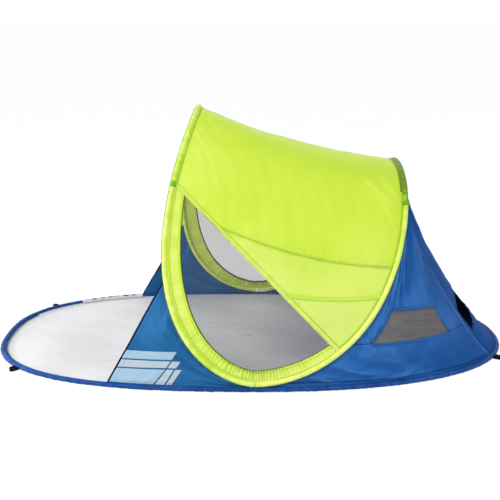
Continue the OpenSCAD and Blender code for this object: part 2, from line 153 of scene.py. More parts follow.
def creases(x, y, lines):
    # each line is x0, y0, x1, y1, width, height in metres; a crease is highest at its start
    total = np.zeros(np.shape(x))
    for x0, y0, x1, y1, width, height in lines:
        lx, ly = x1 - x0, y1 - y0
        ll = lx * lx + ly * ly
        t = ((x - x0) * lx + (y - y0) * ly) / ll
        off = ((x - x0) * ly - (y - y0) * lx) / ll ** 0.5
        off = off + 0.25 * width * np.sin(9 * t)        # creases wander a little
        ends = np.clip(np.minimum(t + 0.06, 1 - t) * 5, 0, 1)
        total += height * (1 - 0.6 * np.clip(t, 0, 1)) * smooth(ends) * np.exp(-(off / width) ** 2)
    return total


# The curves that carry the cloth

frontCtrl = np.array([
    [footX - shape["footRise"], -rimB, hoopZ], [footX - 0.118, -rimB, hoopZ],
    [-2.77 * frontX, -0.78 * rimB, 0.174 * frontH], [-1.22 * frontX, -0.705 * rimB, 0.845 * frontH],
    [-frontX, -0.475 * rimB, frontH], [-frontX, 0, frontH]])
rearCtrl = np.array([
    [footX + shape["footRise"], -rimB, hoopZ], [footX + 0.116, -rimB, hoopZ],
    [0.937 * rearX, -0.963 * rimB, 0.129 * rearH], [1.003 * rearX, -0.772 * rimB, 0.692 * rearH],
    [rearX, -0.7 * rimB, rearH], [rearX, 0, rearH]])


def hoop(ctrl, s):
    # s is 0 at the near foot, 1 at the top and 2 at the far foot
    s = np.asarray(s, float)
    near = bezier(ctrl, np.where(s > 1, 2 - s, s))
    return np.where(column(s) > 1, flipY(near), near)


def hoopWay(ctrl, s):
    s = np.asarray(s, float)
    return unit(hoop(ctrl, np.clip(s + 0.004, 0, 2)) - hoop(ctrl, np.clip(s - 0.004, 0, 2)))


def rim(q):
    # q in degrees round from the tail, 180 at the apron's nose
    c = np.cos(np.radians(q))
    s = np.sin(np.radians(q))
    n = np.where(c < 0, shape["apronSquare"], shape["tailSquare"])
    k = (np.abs(c) ** n + np.abs(s) ** n) ** (-1 / n)
    return np.stack([rimA * c * k, rimB * s * k, tubeR + 0 * k], -1)


def rimWay(q):
    q = np.asarray(q, float)
    return unit(rim(q + 0.2) - rim(q - 0.2))


def offHoop(ctrl, s, to, room=seat):
    p = hoop(ctrl, s)
    return p + room * across(to - p, hoopWay(ctrl, s))


def offRim(q, to, room=seat):
    p = rim(q)
    return p + room * across(to - p, rimWay(q))


# Panels: a panel is a surface over a and b, each 0 to 1 or so, and a height that
# lifts it along its own outward normal for folds and wrinkles.


def makePanel(base, height):
    # out is 1 where growing a crossed with growing b points out of the shelter, or else -1
    mid = np.array([0.5])
    faces = dot(rawNormal(base, mid, mid), base(mid, mid) - insidePoint)[0, 0]
    return {"base": base, "height": height, "out": 1.0 if faces > 0 else -1.0}


def faceOut(panel, *grids):
    # turns grids round where a panel's own order would face inwards
    return grids if panel["out"] > 0 else tuple(g[:, ::-1] for g in grids)


def grid(a, b):
    return np.meshgrid(a, b, indexing="ij")


def rawNormal(base, a, b):
    e = 0.003
    return unit(np.cross(base(a + e, b) - base(a - e, b), base(a, b + e) - base(a, b - e)))


def outNormal(panel, a, b):
    return panel["out"] * rawNormal(panel["base"], a, b)


def panelPoint(panel, a, b, lift=0.0):
    a, b = np.broadcast_arrays(np.asarray(a, float), np.asarray(b, float))
    return panel["base"](a, b) + outNormal(panel, a, b) * column(lift + panel["height"](a, b))


def stepAside(panel, a, b, dist):
    # moves the path (a, b) sideways on the panel by dist metres
    e = 0.004
    base = panel["base"]
    alongA = (base(a + e, b) - base(a - e, b)) / (2 * e)
    alongB = (base(a, b + e) - base(a, b - e)) / (2 * e)
    way = column(np.gradient(a)) * alongA + column(np.gradient(b)) * alongB
    side = unit(np.cross(np.cross(alongA, alongB), way)) * dist
    aa, bb, ab = dot(alongA, alongA), dot(alongB, alongB), dot(alongA, alongB)
    ra, rb = dot(alongA, side), dot(alongB, side)
    det = aa * bb - ab * ab
    return a + ((bb * ra - ab * rb) / det)[..., 0], b + ((aa * rb - ab * ra) / det)[..., 0]


def edgeWay(panel):
    # +1 where a step aside from a line of growing a leads to larger b
    a, b = stepAside(panel, np.array([0.4, 0.5, 0.6]), np.full(3, 0.5), 0.01)
    return 1 if b[1] > 0.5 else -1


def sideWay(panel):
    # +1 where a step aside from a line of growing b leads to larger a
    a, b = stepAside(panel, np.full(3, 0.5), np.array([0.4, 0.5, 0.6]), 0.01)
    return 1 if a[1] > 0.5 else -1


clothThick = 0.0008                                     # drawn thicker than real cloth, so that hems show


def gridMesh(name, pts, material, nodes=(), thick=clothThick, skip=None, far=False, shade=None,
             closedB=False):
    # a quad mesh on a grid of points, with its UV map in metres
    pts = np.asarray(pts, float)
    if far:
        pts = flipY(pts)
    n, m = pts.shape[:2]
    index = np.arange(n * m).reshape(n, m)
    if closedB:
        index = np.concatenate([index, index[:, :1]], 1)
    quads = np.stack([index[:-1, :-1], index[1:, :-1], index[1:, 1:], index[:-1, 1:]], -1)
    quads = quads.reshape(-1, 4) if skip is None else quads[~skip]
    if far:
        quads = quads[:, ::-1]
    stepA = np.linalg.norm(np.diff(pts, axis=0), axis=-1).mean(1)
    stepB = np.linalg.norm(np.diff(pts, axis=1), axis=-1).mean(0)
    atA = np.concatenate([[0], np.cumsum(stepA)])
    atB = np.concatenate([[0], np.cumsum(stepB)])
    mesh = bpy.data.meshes.new(name)
    mesh.from_pydata(pts.reshape(-1, 3).tolist(), [], quads.tolist())
    uv = np.stack(grid(atA, atB), -1).reshape(-1, 2)
    corners = np.zeros(len(mesh.loops), int)
    mesh.loops.foreach_get("vertex_index", corners)
    mesh.uv_layers.new(name="metres").data.foreach_set("uv", uv[corners].ravel())
    values = np.zeros(n * m) if shade is None else np.asarray(shade, float).ravel()
    mesh.attributes.new("shade", "FLOAT", "POINT").data.foreach_set("value", values.astype(np.float32))
    mesh.polygons.foreach_set("use_smooth", [True] * len(mesh.polygons))
    mesh.materials.append(material)
    mesh.update()
    return finishPiece(bpy.data.objects.new(name, mesh), nodes, thick)


def finishPiece(piece, nodes=(), thick=0):
    bpy.context.scene.collection.objects.link(piece)
    if thick:
        wall = piece.modifiers.new("cloth", "SOLIDIFY")
        wall.thickness = thick
        wall.offset = 0
    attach(piece, "root")
    if nodes:
        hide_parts(*nodes)
    return piece


def clothPiece(name, panel, aValues, bValues, material, nodes, thick, far):
    a, b = grid(aValues, bValues)
    h = panel["height"](a, b)
    # painted shade and highlight: fold crests lighter, troughs darker
    shade = np.clip((h - h.mean()) / (h.std() + 1e-9) / 3, -1, 1)
    pts, shade = faceOut(panel, panelPoint(panel, a, b), shade)
    return gridMesh(name, pts, material, nodes, thick, None, far, shade)


def declareSheet(piece, pts, withPieces=()):
    # the cut is a rectangle round the panel laid out flat: its longest rows and columns,
    # or its box where the panel is a slanted triangle
    pts = np.asarray(pts)
    rows = float(np.linalg.norm(np.diff(pts, axis=0), axis=-1).sum(0).max())
    cols = float(np.linalg.norm(np.diff(pts, axis=1), axis=-1).sum(1).max())
    spread = pts.reshape(-1, 3) - pts.reshape(-1, 3).mean(0)
    turned = spread @ np.linalg.svd(spread, full_matrices=False)[2].T
    boxed = turned.max(0) - turned.min(0)
    area = sum(face.area for face in piece.data.polygons)
    flat = (rows, cols) if area > 0.35 * rows * cols else (float(boxed[0]), float(boxed[1]))
    flat = (round(min(flat), 3), round(max(flat), 3))
    area = min(area, flat[0] * flat[1])
    print(f"  {piece.name}: cut {flat[0]:.2f} x {flat[1]:.2f} m, {area:.3f} m2")


bandSpec = {"rows": (-1, -0.86, -0.5, 0, 0.5, 0.86, 1), "tuck": 0.0009, "thick": 0.0005}


def bandOn(name, panel, a, b, width, material, far=False, lift=0.0011, crown=0.0006, nodes=()):
    # a flat felled band or fold, laid on a panel along the path (a, b), its edges tucked down
    rows = []
    for k in bandSpec["rows"]:
        ka, kb = stepAside(panel, a, b, k * width / 2)
        high = lift + crown * (1 - abs(k) ** 3) - (bandSpec["tuck"] if abs(k) == 1 else 0)
        rows.append(panelPoint(panel, ka, kb, high))
    pts = np.stack(rows, 1)
    mid = len(a) // 2
    n = outNormal(panel, a[mid:mid + 1], b[mid:mid + 1])[0]
    way = pts[mid + 1, 3] - pts[mid, 3]
    if np.dot(np.cross(way, pts[mid, 4] - pts[mid, 3]), n) < 0:
        pts = pts[:, ::-1]
    return gridMesh(name, pts, material, nodes, bandSpec["thick"], None, far)


# Colours and finishes


def hexColor(text):
    # an sRGB hex colour turned to linear, with alpha 1
    parts = [int(text[i:i + 2], 16) / 255 for i in (1, 3, 5)]
    return tuple(c / 12.92 if c <= 0.04045 else ((c + 0.055) / 1.055) ** 2.4 for c in parts) + (1.0,)


def addNode(tree, kind, inputs=None, **settings):
    # adds a node; each input is given a value or linked to a socket
    node = tree.nodes.new(kind)
    for key, value in settings.items():
        setattr(node, key, value)
    for key, value in (inputs or {}).items():
        if isinstance(value, bpy.types.NodeSocket):
            tree.links.new(value, node.inputs[key])
        else:
            node.inputs[key].default_value = value
    return node


def newMaterial(name):
    material = bpy.data.materials.new(name)
    material.use_nodes = True
    material.node_tree.nodes.clear()
    return material, material.node_tree


def wovenHeight(tree, thread):
    # two crossed sets of threads on the UV map, which is in metres
    uv = addNode(tree, "ShaderNodeUVMap", uv_map="metres").outputs["UV"]
    scale = math.pi / 10 / thread                       # a wave texture repeats 10/pi times a unit
    warp = addNode(tree, "ShaderNodeTexWave", {"Vector": uv, "Scale": scale}, bands_direction="X")
    weft = addNode(tree, "ShaderNodeTexWave", {"Vector": uv, "Scale": scale}, bands_direction="Y")
    return addNode(tree, "ShaderNodeMath", {0: warp.outputs["Fac"], 1: weft.outputs["Fac"]},
                   operation="ADD").outputs[0]


def clothFinish(name, face, deep, light, glow, glowColor, rough, thread=0.0030, crinkle=0.25,
                crinkleSize=0.02, gloss=0.10, weave=0.12, stretch=(1, 1, 1), inside=None):
    # thin woven cloth: colour drifts at random between deep and light, and the shade attribute paints
    # light and shade into it; fine threads and crinkles catch the light, and glow lets light through
    material, tree = newMaterial(name)
    where = addNode(tree, "ShaderNodeTexCoord").outputs["Object"]
    drift = addNode(tree, "ShaderNodeTexNoise", {"Vector": where, "Scale": 2.2, "Detail": 3.0})
    # painted light and shade: the shade attribute that each piece carries
    folds = addNode(tree, "ShaderNodeAttribute", attribute_name="shade").outputs["Fac"]
    lit = addNode(tree, "ShaderNodeMath", {0: folds, 1: 0.35, 2: drift.outputs["Fac"]},
                  operation="MULTIPLY_ADD").outputs[0]
    ramp = addNode(tree, "ShaderNodeValToRGB", {"Fac": lit})
    stops = ramp.color_ramp.elements
    stops[0].position, stops[0].color = 0.2, hexColor(deep)
    stops[1].position, stops[1].color = 0.8, hexColor(light)
    middle = stops.new(0.5)
    middle.color = hexColor(face)
    drawn = addNode(tree, "ShaderNodeMapping", {"Vector": where, "Scale": stretch}).outputs[0]
    fine = addNode(tree, "ShaderNodeTexNoise", {"Vector": drawn, "Scale": 1 / crinkleSize, "Detail": 4.0,
                                                "Roughness": 0.6})
    bump = addNode(tree, "ShaderNodeBump", {"Height": fine.outputs["Fac"], "Strength": crinkle,
                                            "Distance": 0.002})
    threads = addNode(tree, "ShaderNodeBump", {"Height": wovenHeight(tree, thread), "Strength": weave,
                                               "Distance": 0.0004, "Normal": bump.outputs["Normal"]})
    color = ramp.outputs["Color"]
    if inside:                                          # faces that look down show the coated side
        normal = addNode(tree, "ShaderNodeNewGeometry").outputs["True Normal"]
        height = addNode(tree, "ShaderNodeSeparateXYZ", {0: normal}).outputs["Z"]
        side = addNode(tree, "ShaderNodeMath", {0: height, 1: -0.02}, operation="LESS_THAN").outputs[0]
        color = addNode(tree, "ShaderNodeMix", {0: side, 6: color, 7: hexColor(inside)},
                        data_type="RGBA").outputs[2]
    skin = addNode(tree, "ShaderNodeBsdfPrincipled", {
        "Base Color": color, "Roughness": rough, "Normal": threads.outputs["Normal"],
        "Specular IOR Level": gloss, "IOR": 1.5})
    through = addNode(tree, "ShaderNodeBsdfTranslucent", {"Color": hexColor(glowColor),
                                                          "Normal": threads.outputs["Normal"]})
    both = addNode(tree, "ShaderNodeMixShader", {0: glow, 1: skin.outputs[0], 2: through.outputs[0]})
    addNode(tree, "ShaderNodeOutputMaterial", {"Surface": both.outputs[0]})
    return material


def screenFinish(name, dark, light, thread, low, high, gloss, streak):
    # knitted mesh: threads cross on the UV map, and the holes between let most light by
    material, tree = newMaterial(name)
    threads = wovenHeight(tree, thread)
    where = addNode(tree, "ShaderNodeTexCoord").outputs["Object"]
    pulled = addNode(tree, "ShaderNodeMapping", {"Vector": where, "Scale": streak}).outputs[0]
    cloud = addNode(tree, "ShaderNodeTexNoise", {"Vector": pulled, "Scale": 40.0, "Detail": 3.0})
    solid = addNode(tree, "ShaderNodeMapRange", {"Value": threads, "From Min": 0.4, "From Max": 1.6,
                                                 "To Min": low, "To Max": high}).outputs["Result"]
    color = addNode(tree, "ShaderNodeMix", {"Factor": cloud.outputs["Fac"], 6: hexColor(dark),
                                            7: hexColor(light)}, data_type="RGBA").outputs[2]
    skin = addNode(tree, "ShaderNodeBsdfPrincipled", {
        "Base Color": color, "Roughness": 0.75, "Alpha": solid, "Specular IOR Level": gloss})
    addNode(tree, "ShaderNodeOutputMaterial", {"Surface": skin.outputs[0]})
    return material


# Coated polyester taffeta in lime: bright, thin enough to glow, silvered inside against the sun
canopyCloth = clothFinish("lime_coated_polyester", "#cee84a", "#c4e23c", "#d8ee64", 0.10, "#eef8b8", 0.5,
                          crinkle=0.16, crinkleSize=0.03, inside="#d2d0d6")
# The same cloth on the lower panels, painted paler for the light that the white floor throws up on them
sideClothPaintedLit = clothFinish("lime_coated_polyester_side_painted_light", "#d0e85c", "#c6e24e", "#dcee70", 0.10, "#eef8b8", 0.5,
                        crinkle=0.16, crinkleSize=0.03, inside="#d2d0d6")
cornerClothPaintedLit = clothFinish("lime_coated_polyester_corner_painted_light", "#cce464", "#c4de54", "#d8ec76", 0.10, "#eef8b8",
                          0.5, crinkle=0.16, crinkleSize=0.03, inside="#d2d0d6")
# The same cloth doubled at gussets and folds: paler and yellower
gussetCloth = clothFinish("pale_lime_coated_polyester", "#e0f072", "#cee858", "#eaf68a", 0.18, "#f2fc70",
                          0.5, crinkle=0.25, crinkleSize=0.02)
# Several layers of lime cloth round a spring wire: deeper green, finely puckered
hoopCloth = clothFinish("lime_polyester_sleeve", "#c6e44c", "#aad638", "#ecf886", 0.08, "#cceb50", 0.5,
                        crinkle=0.5, crinkleSize=0.012)
# Lime sleeve over the blue tail's edge: the blue beneath turns it olive
crownCloth = clothFinish("lime_sleeve_over_blue", "#74922a", "#5c7c1e", "#b4dc34", 0.02, "#86a82c", 0.5,
                         crinkle=0.5, crinkleSize=0.012)
# Painted shade: a darker lime band for the shadow in the gutter of a sewn line
limeSeamShade = clothFinish("lime_seam_painted_shade", "#a8cc3c", "#9cc232", "#b4d64c", 0.0, "#9ec832", 0.6)
# A felled seam, two layers of lime cloth more: a shade deeper
felledCloth = clothFinish("lime_felled_seam", "#bcdc4a", "#b2d43e", "#c8e45c", 0.0, "#bcdc4a", 0.5)
# The sleeve's seam fin outside the front hoop, in dark olive: painted shade for the shaded limb of the sleeve
sleeveLimbShade = clothFinish("olive_painted_limb_shade", "#6c8426", "#56701c", "#829a34", 0.0, "#6c8426", 0.7,
                         0.0022)
# Blue coated taffeta: a cool satin; its shade attribute paints fold crests lighter (painted highlight) and
# the wall darker towards the ridge (painted shade)
tailCloth = clothFinish("blue_coated_polyester", "#1e589e", "#174c90", "#3874be", 0.05, "#2868c0", 0.52,
                        crinkle=1.0, crinkleSize=0.016, gloss=0.05, stretch=(1.4, 1.4, 0.35))
# The same blue painted darker for the end panel, which faces away from the lamps: painted shade
endClothShaded = clothFinish("blue_coated_polyester_end_painted_shade", "#164a90", "#103e7e", "#2258a0", 0.05, "#2868c0", 0.6,
                       crinkle=0.35, crinkleSize=0.02, gloss=0.02)
# Painted shade: a dark navy band for the shadow in a sewn line's gutter; and a painted highlight: a light
# blue band along the ridge fold's crest
blueSeamShade = clothFinish("navy_seam_painted_shade", "#12366c", "#0e2e60", "#184078", 0.0, "#12366c", 0.6)
blueRidgeHighlight = clothFinish("blue_painted_ridge_highlight", "#5486c8", "#4478bc", "#6a98d4", 0.0, "#5486c8", 0.5)
wingCloth = clothFinish("blue_wing_polyester", "#20649a", "#185486", "#2e74ac", 0.05, "#2a70c0", 0.5,
                        crinkle=0.35, crinkleSize=0.02)
# Blue cloth round the ground wire: tight crinkles and a stronger gloss
rimCloth = clothFinish("blue_polyester_rim_sleeve", "#1c4a90", "#133872", "#2a5ca8", 0.0, "#2858b0", 0.45,
                       crinkle=0.8, crinkleSize=0.010)
# Woven binding tape: matte navy ribs
bindingTape = clothFinish("navy_binding_tape", "#101c38", "#0a1226", "#1c2c50", 0.0, "#101c38", 0.75,
                          0.0022, crinkle=0.2, weave=0.5)
# Dark olive bias tape along the screens' edges
screenTape = clothFinish("olive_bias_tape", "#4a5424", "#3a4418", "#5c6830", 0.0, "#4a5424", 0.7, 0.0022,
                         crinkle=0.2, weave=0.5)
# Black polypropylene webbing: matte with coarse ribs
loopWebbing = clothFinish("black_webbing", "#14161a", "#0c0d10", "#22252b", 0.0, "#14161a", 0.7, 0.0024,
                          crinkle=0.2, weave=0.8)
# Green tape patches where the cloth is tied to the wire
tieTape = clothFinish("green_tie_tape", "#7cbc2e", "#62a020", "#94d444", 0.05, "#7cbc2e", 0.6, 0.0022,
                      crinkle=0.2, weave=0.6)
# Silvered polyethylene weave: pale, slightly glossy, full of fine crinkles
floorCloth = clothFinish("silvered_polyethylene_weave", "#d9d9db", "#d3d3d5", "#dfdfe1", 0.0, "#e6e6e6",
                         0.4, 0.0035, crinkle=1.0, crinkleSize=0.014, stretch=(0.3, 1.3, 1))
# Pale printed film on the wings: flat colour with a faint sheen
printPale = clothFinish("pale_blue_print", "#9cbace", "#94b2c8", "#a6c2d6", 0.0, "#b2cee2", 0.5)
printGrey = clothFinish("light_grey_print", "#b0bec8", "#a8b6c0", "#b8c6d0", 0.0, "#c8d0de", 0.5)
# Fine knitted mesh: grey threads over the side openings, closer threads in the tail windows
sideScreen = screenFinish("grey_knitted_mesh", "#46424a", "#524e56", 0.0018, 0.18, 0.42, 0.2, (1, 1, 1))
windowScreen = screenFinish("dark_knitted_mesh", "#403e3e", "#86807a", 0.0018, 0.58, 0.86, 0.2,
                            (0.35, 0.35, 2.2))
ventScreen = screenFinish("black_knitted_mesh", "#02040a", "#060a14", 0.0018, 0.94, 1.0, 0.0, (1, 1, 1))


def threadFinish(name, color):
    # twisted polyester thread: a small round satin stitch
    material, tree = newMaterial(name)
    where = addNode(tree, "ShaderNodeTexCoord").outputs["Object"]
    ply = addNode(tree, "ShaderNodeTexNoise", {"Vector": where, "Scale": 900.0})
    bump = addNode(tree, "ShaderNodeBump", {"Height": ply.outputs["Fac"], "Strength": 0.4,
                                            "Distance": 0.0003})
    skin = addNode(tree, "ShaderNodeBsdfPrincipled", {
        "Base Color": hexColor(color), "Roughness": 0.55, "Normal": bump.outputs["Normal"]})
    addNode(tree, "ShaderNodeOutputMaterial", {"Surface": skin.outputs[0]})
    return material


limeThread = threadFinish("green_polyester_thread", "#94b82c")
blueThread = threadFinish("navy_polyester_thread", "#14305e")
darkThread = threadFinish("black_polyester_thread", "#14161a")
paleThread = threadFinish("pale_polyester_thread", "#b6bac0")
print("finishes made")

# Stitches, by Geometry Nodes

seams = {}                                              # thread name to its list of lines


def markSeam(thread, panel, a, b, dist=0.0, far=False, lift=0.0012, crosswise=False):
    # notes a line of stitches on a panel; crosswise ones lie across their line
    a, b = np.broadcast_arrays(np.asarray(a, float), np.asarray(b, float))
    if dist:
        a, b = stepAside(panel, a, b, dist)
    pts = panelPoint(panel, a, b, lift)
    way = unit(np.gradient(pts, axis=0))
    if crosswise:
        way = unit(np.cross(way, outNormal(panel, a, b)))
    if far:
        pts, way = flipY(pts), flipY(way)
    seams.setdefault(thread, []).append((pts, way))


def stitchTree(name):
    # stitches set along every line of a mesh, each lying the way its point says
    tree = bpy.data.node_groups.new(name, "GeometryNodeTree")
    tree.interface.new_socket("Lines", in_out="INPUT", socket_type="NodeSocketGeometry")
    for label in ("Spacing", "Length", "Width"):
        tree.interface.new_socket(label, in_out="INPUT", socket_type="NodeSocketFloat")
    tree.interface.new_socket("Thread", in_out="INPUT", socket_type="NodeSocketMaterial")
    tree.interface.new_socket("Stitches", in_out="OUTPUT", socket_type="NodeSocketGeometry")
    given = addNode(tree, "NodeGroupInput").outputs
    curve = addNode(tree, "GeometryNodeMeshToCurve", {"Mesh": given["Lines"]})
    spaced = addNode(tree, "GeometryNodeResampleCurve", {"Curve": curve.outputs[0],
                                                         "Length": given["Spacing"]}, mode="LENGTH")
    way = addNode(tree, "GeometryNodeInputNamedAttribute", {"Name": "way"}, data_type="FLOAT_VECTOR")
    turn = addNode(tree, "FunctionNodeAlignRotationToVector", {"Vector": way.outputs["Attribute"]},
                   axis="Z")
    stitch = addNode(tree, "GeometryNodeMeshUVSphere", {"Segments": 6, "Rings": 5, "Radius": 0.5})
    size = addNode(tree, "ShaderNodeCombineXYZ", {"X": given["Width"], "Y": given["Width"],
                                                  "Z": given["Length"]})
    vary = addNode(tree, "FunctionNodeRandomValue", {2: 0.85, 3: 1.1, "Seed": 5}, data_type="FLOAT")
    scale = addNode(tree, "ShaderNodeVectorMath", {0: size.outputs[0], "Scale": vary.outputs[1]},
                    operation="SCALE")
    placed = addNode(tree, "GeometryNodeInstanceOnPoints", {
        "Points": spaced.outputs[0], "Instance": stitch.outputs[0], "Rotation": turn.outputs[0],
        "Scale": scale.outputs[0]})
    real = addNode(tree, "GeometryNodeRealizeInstances", {0: placed.outputs[0]})
    painted = addNode(tree, "GeometryNodeSetMaterial", {"Geometry": real.outputs[0],
                                                        "Material": given["Thread"]})
    addNode(tree, "NodeGroupOutput", {0: painted.outputs[0]})
    return tree


def sewSeams(name, lines, spacing, length, width, thread):
    pts = np.concatenate([p for p, _ in lines])
    ways = np.concatenate([w for _, w in lines])
    edges = []
    start = 0
    for p, _ in lines:
        edges += [(i, i + 1) for i in range(start, start + len(p) - 1)]
        start += len(p)
    mesh = bpy.data.meshes.new(name)
    mesh.from_pydata(pts.tolist(), edges, [])
    mesh.attributes.new("way", "FLOAT_VECTOR", "POINT").data.foreach_set("vector", ways.ravel())
    rough = bpy.data.objects.new(name + "_lines", mesh)
    bpy.context.scene.collection.objects.link(rough)
    sew = rough.modifiers.new("stitches", "NODES")
    sew.node_group = stitchNodes
    given = {"Spacing": spacing, "Length": length, "Width": width, "Thread": thread}
    for item in stitchNodes.interface.items_tree:
        if item.in_out == "INPUT" and item.name in given:
            sew[item.identifier] = given[item.name]
    graph = bpy.context.evaluated_depsgraph_get()
    made = bpy.data.meshes.new_from_object(rough.evaluated_get(graph))
    bpy.data.objects.remove(rough)
    made.polygons.foreach_set("use_smooth", [True] * len(made.polygons))
    piece = bpy.data.objects.new(name, made)
    print(f"  {name}: {len(made.polygons)} faces")
    return finishPiece(piece)


stitchNodes = stitchTree("stitch_run")

# Floor

floorSpec = {"rings": 70, "turns": 420, "crowd": 1.15, "hub": 0.004, "swell": 0.0022, "ripple": 0.0007,
             "streaks": 90, "streakHeight": 0.0016, "layer": 0.0030, "edgeRise": 0.004, "lowest": 0.0008,
             "hems": (0.985, 0.972), "stitchLift": 0.0012, "seed": 11}


def floorHeight(x, y):
    rng = np.random.default_rng(floorSpec["seed"])
    lines = []
    for px, py, turn, size, up in rng.uniform(0, 1, (floorSpec["streaks"], 5)):
        x0, y0 = (px * 2 - 1) * rimA * 0.95, (py * 2 - 1) * rimB * 0.9
        way, reach = (turn - 0.5) * 0.5, 0.10 + 0.22 * size
        lines.append([x0, y0, x0 + reach * math.cos(way), y0 + reach * math.sin(way),
                      0.003 + 0.004 * size, floorSpec["streakHeight"] * (up * 1.6 - 0.5)])
    return (floorSpec["swell"] * waves(x, y, 3, 0.3) + floorSpec["ripple"] * waves(x, y * 3, 4, 0.08)
            + creases(x, y, lines))


def floorBase(a, b):
    # a runs once round, b from the middle out to the rim
    edge = rim(360 * a)
    reach = 1 - (tubeR * 0.7) / np.linalg.norm(edge[..., :2], axis=-1)
    p = edge * column(b * reach)
    rise = floorSpec["edgeRise"] * smooth((b - 0.975) / 0.025)
    p[..., 2] = floorSpec["layer"] + rise
    return p


def buildFloor():
    a = np.linspace(0, 1, floorSpec["turns"] + 1)[:-1]
    b = 1 - (1 - np.linspace(floorSpec["hub"], 1, floorSpec["rings"])) ** floorSpec["crowd"]
    gridA, gridB = grid(a, b)
    pts = floorBase(gridA, gridB)
    h = floorHeight(pts[..., 0], pts[..., 1]) * smooth((1 - gridB) * 14)
    pts[..., 2] = np.maximum(pts[..., 2] + h, floorSpec["lowest"])
    # painted shade and highlight on the floor's creases: crests lighter, hollows darker
    shade = np.clip(h / 0.003, -1, 1)
    pts = np.concatenate([pts, pts[:1]], 0)[::-1, ::-1]
    shade = np.concatenate([shade, shade[:1]], 0)[::-1, ::-1]
    piece = gridMesh("floor_cloth", pts, floorCloth, ["floor_sheet"], shade=shade)
    uv = piece.data.uv_layers[0].data                   # the floor's threads run straight, not round
    for loop in piece.data.loops:
        co = piece.data.vertices[loop.vertex_index].co
        uv[loop.index].uv = (co.x, co.y)
    for line in floorSpec["hems"]:
        q = np.linspace(0, 1, 400)
        edge = floorBase(q, line + 0 * q)
        edge[:, 2] += floorSpec["stitchLift"]
        seams.setdefault("pale", []).append((edge, unit(np.gradient(edge, axis=0))))


buildFloor()
print("floor laid")

# Sleeves round the wires

sleeveSpec = {"round": 22, "every": 0.0045, "skin": 0.96, "pucker": 0.035, "fin": 0.34, "finWidth": 0.035,
              "seam": (0.80, 0.95, 1.08, 1.18), "seamThick": 0.0014, "seamFrom": 0.06}
rimSpec = {"perDegree": 3.2, "pucker": 0.11, "flat": 0.03, "facing": 1.16, "facingFoot": 0.010,
           "stitches": 700, "stitchReach": 1.02, "stitchUp": 0.92, "stitchIn": 0.39}


def sleevePiece(name, path, way, material, seed, finWays=(), pucker=sleeveSpec["pucker"], flat=0.0,
                tone=0.0):
    # a puckered tube with a low fin where each cloth leaves it
    length = lengthAlong(path)
    rings = []
    for angle, out in allRound(across(upWay + 0.001 * path, way), way, sleeveSpec["round"]):
        bump = 1 + pucker * waves(length, angle * 0.01 + 0 * length, seed, 0.016)
        bump += 0.5 * pucker * waves(length, angle * 0.012 + 0 * length, seed + 1, 0.06)
        bump -= flat * abs(math.cos(angle)) ** 6
        for fin in finWays:
            close = np.clip(dot(out, fin)[:, 0], -1, 1)
            bump += sleeveSpec["fin"] * np.exp(-((1 - close) / sleeveSpec["finWidth"]))
        rings.append(path + out * column(tubeR * sleeveSpec["skin"] * bump))
    pts = np.stack(rings, 1)
    first, last = path[0] + 0 * pts[:1], path[-1] + 0 * pts[:1]
    pts = np.concatenate([first, pts, last], 0)
    shade = np.concatenate([length[:1], length, length[-1:]])
    tone = np.concatenate([[0], 0 * length + tone, [0]])
    shade = np.clip(waves(shade, shade * 0, seed + 2, 0.03) * 0.35 + tone, -1, 1)
    shade = shade[:, None] * np.ones(len(rings))
    node = name.replace("_sleeve", "")
    gridMesh(name, pts[:, ::-1], material, [node], 0, shade=shade[:, ::-1], closedB=True)


def sleeveSeam(name, path, way, outward, material):
    # the sleeve's closing seam: a low fin standing out from the wire
    out = across(outward, way)
    rows = [path + out * tubeR * reach for reach in sleeveSpec["seam"]]
    gridMesh(name, np.stack(rows, 1), material, (), sleeveSpec["seamThick"])


def buildRim():
    q2, q3 = shape["wingQ"], shape["ridgeQ"]
    lengths = {"apron_near": (-90, q2), "apron_nose": (q2, -360 - q2), "apron_far": (-360 - q2, -270),
               "tail_near": (-90, q3), "tail_end": (q3, -q3), "tail_far": (-q3, 90)}
    for i, (name, (start, end)) in enumerate(lengths.items()):
        q = np.linspace(start, end, max(60, int(abs(end - start) * rimSpec["perDegree"])))
        sleevePiece(f"rim_{name}_sleeve", rim(q), rimWay(q) * np.sign(end - start), rimCloth,
                    40 + i, pucker=rimSpec["pucker"], flat=rimSpec["flat"])
    markRimLine()
    facingOn("rim_facing_near", -205, -92, -0.9, 0.2, rimCloth, 0.15)
    facingOn("floor_lap_far", -241, -224, -0.9, 1.05, floorCloth, 0.7)


def rimInward(q):
    way = rimWay(q)
    return unit(np.stack([-way[:, 1], way[:, 0], 0.0 * q], -1))


def facingOn(name, start, end, low, high, material, wave):
    # a strip of cloth wrapped on the rim, between two angles up from its inner side
    q = np.linspace(start, end, 420)
    inward = rimInward(q)
    length = lengthAlong(rim(q))
    edge = high + wave * waves(length, 0 * length, 71, 0.11)
    edge = edge + 0.5 * wave * waves(length, 0 * length, 72, 0.03)
    rows = []
    for k in np.linspace(0, 1, 8):
        angle = mix(low, edge, k)
        out = column(np.cos(angle)) * inward + column(np.sin(angle)) * upWay
        rows.append(rim(q) + out * tubeR * rimSpec["facing"])
    foot = rows[0] + inward * rimSpec["facingFoot"]
    foot[:, 2] = floorSpec["layer"] + floorSpec["edgeRise"] + 0.004
    gridMesh(name, np.stack([foot] + rows, 1)[::-1], material)


def markRimLine():
    # a line of navy stitches high on the rim, where its sleeve is closed
    q = np.linspace(0, 359.9, rimSpec["stitches"])
    out = rimSpec["stitchUp"] * upWay + rimSpec["stitchIn"] * rimInward(q)
    seams.setdefault("navy", []).append((rim(q) + tubeR * rimSpec["stitchReach"] * out, rimWay(q)))


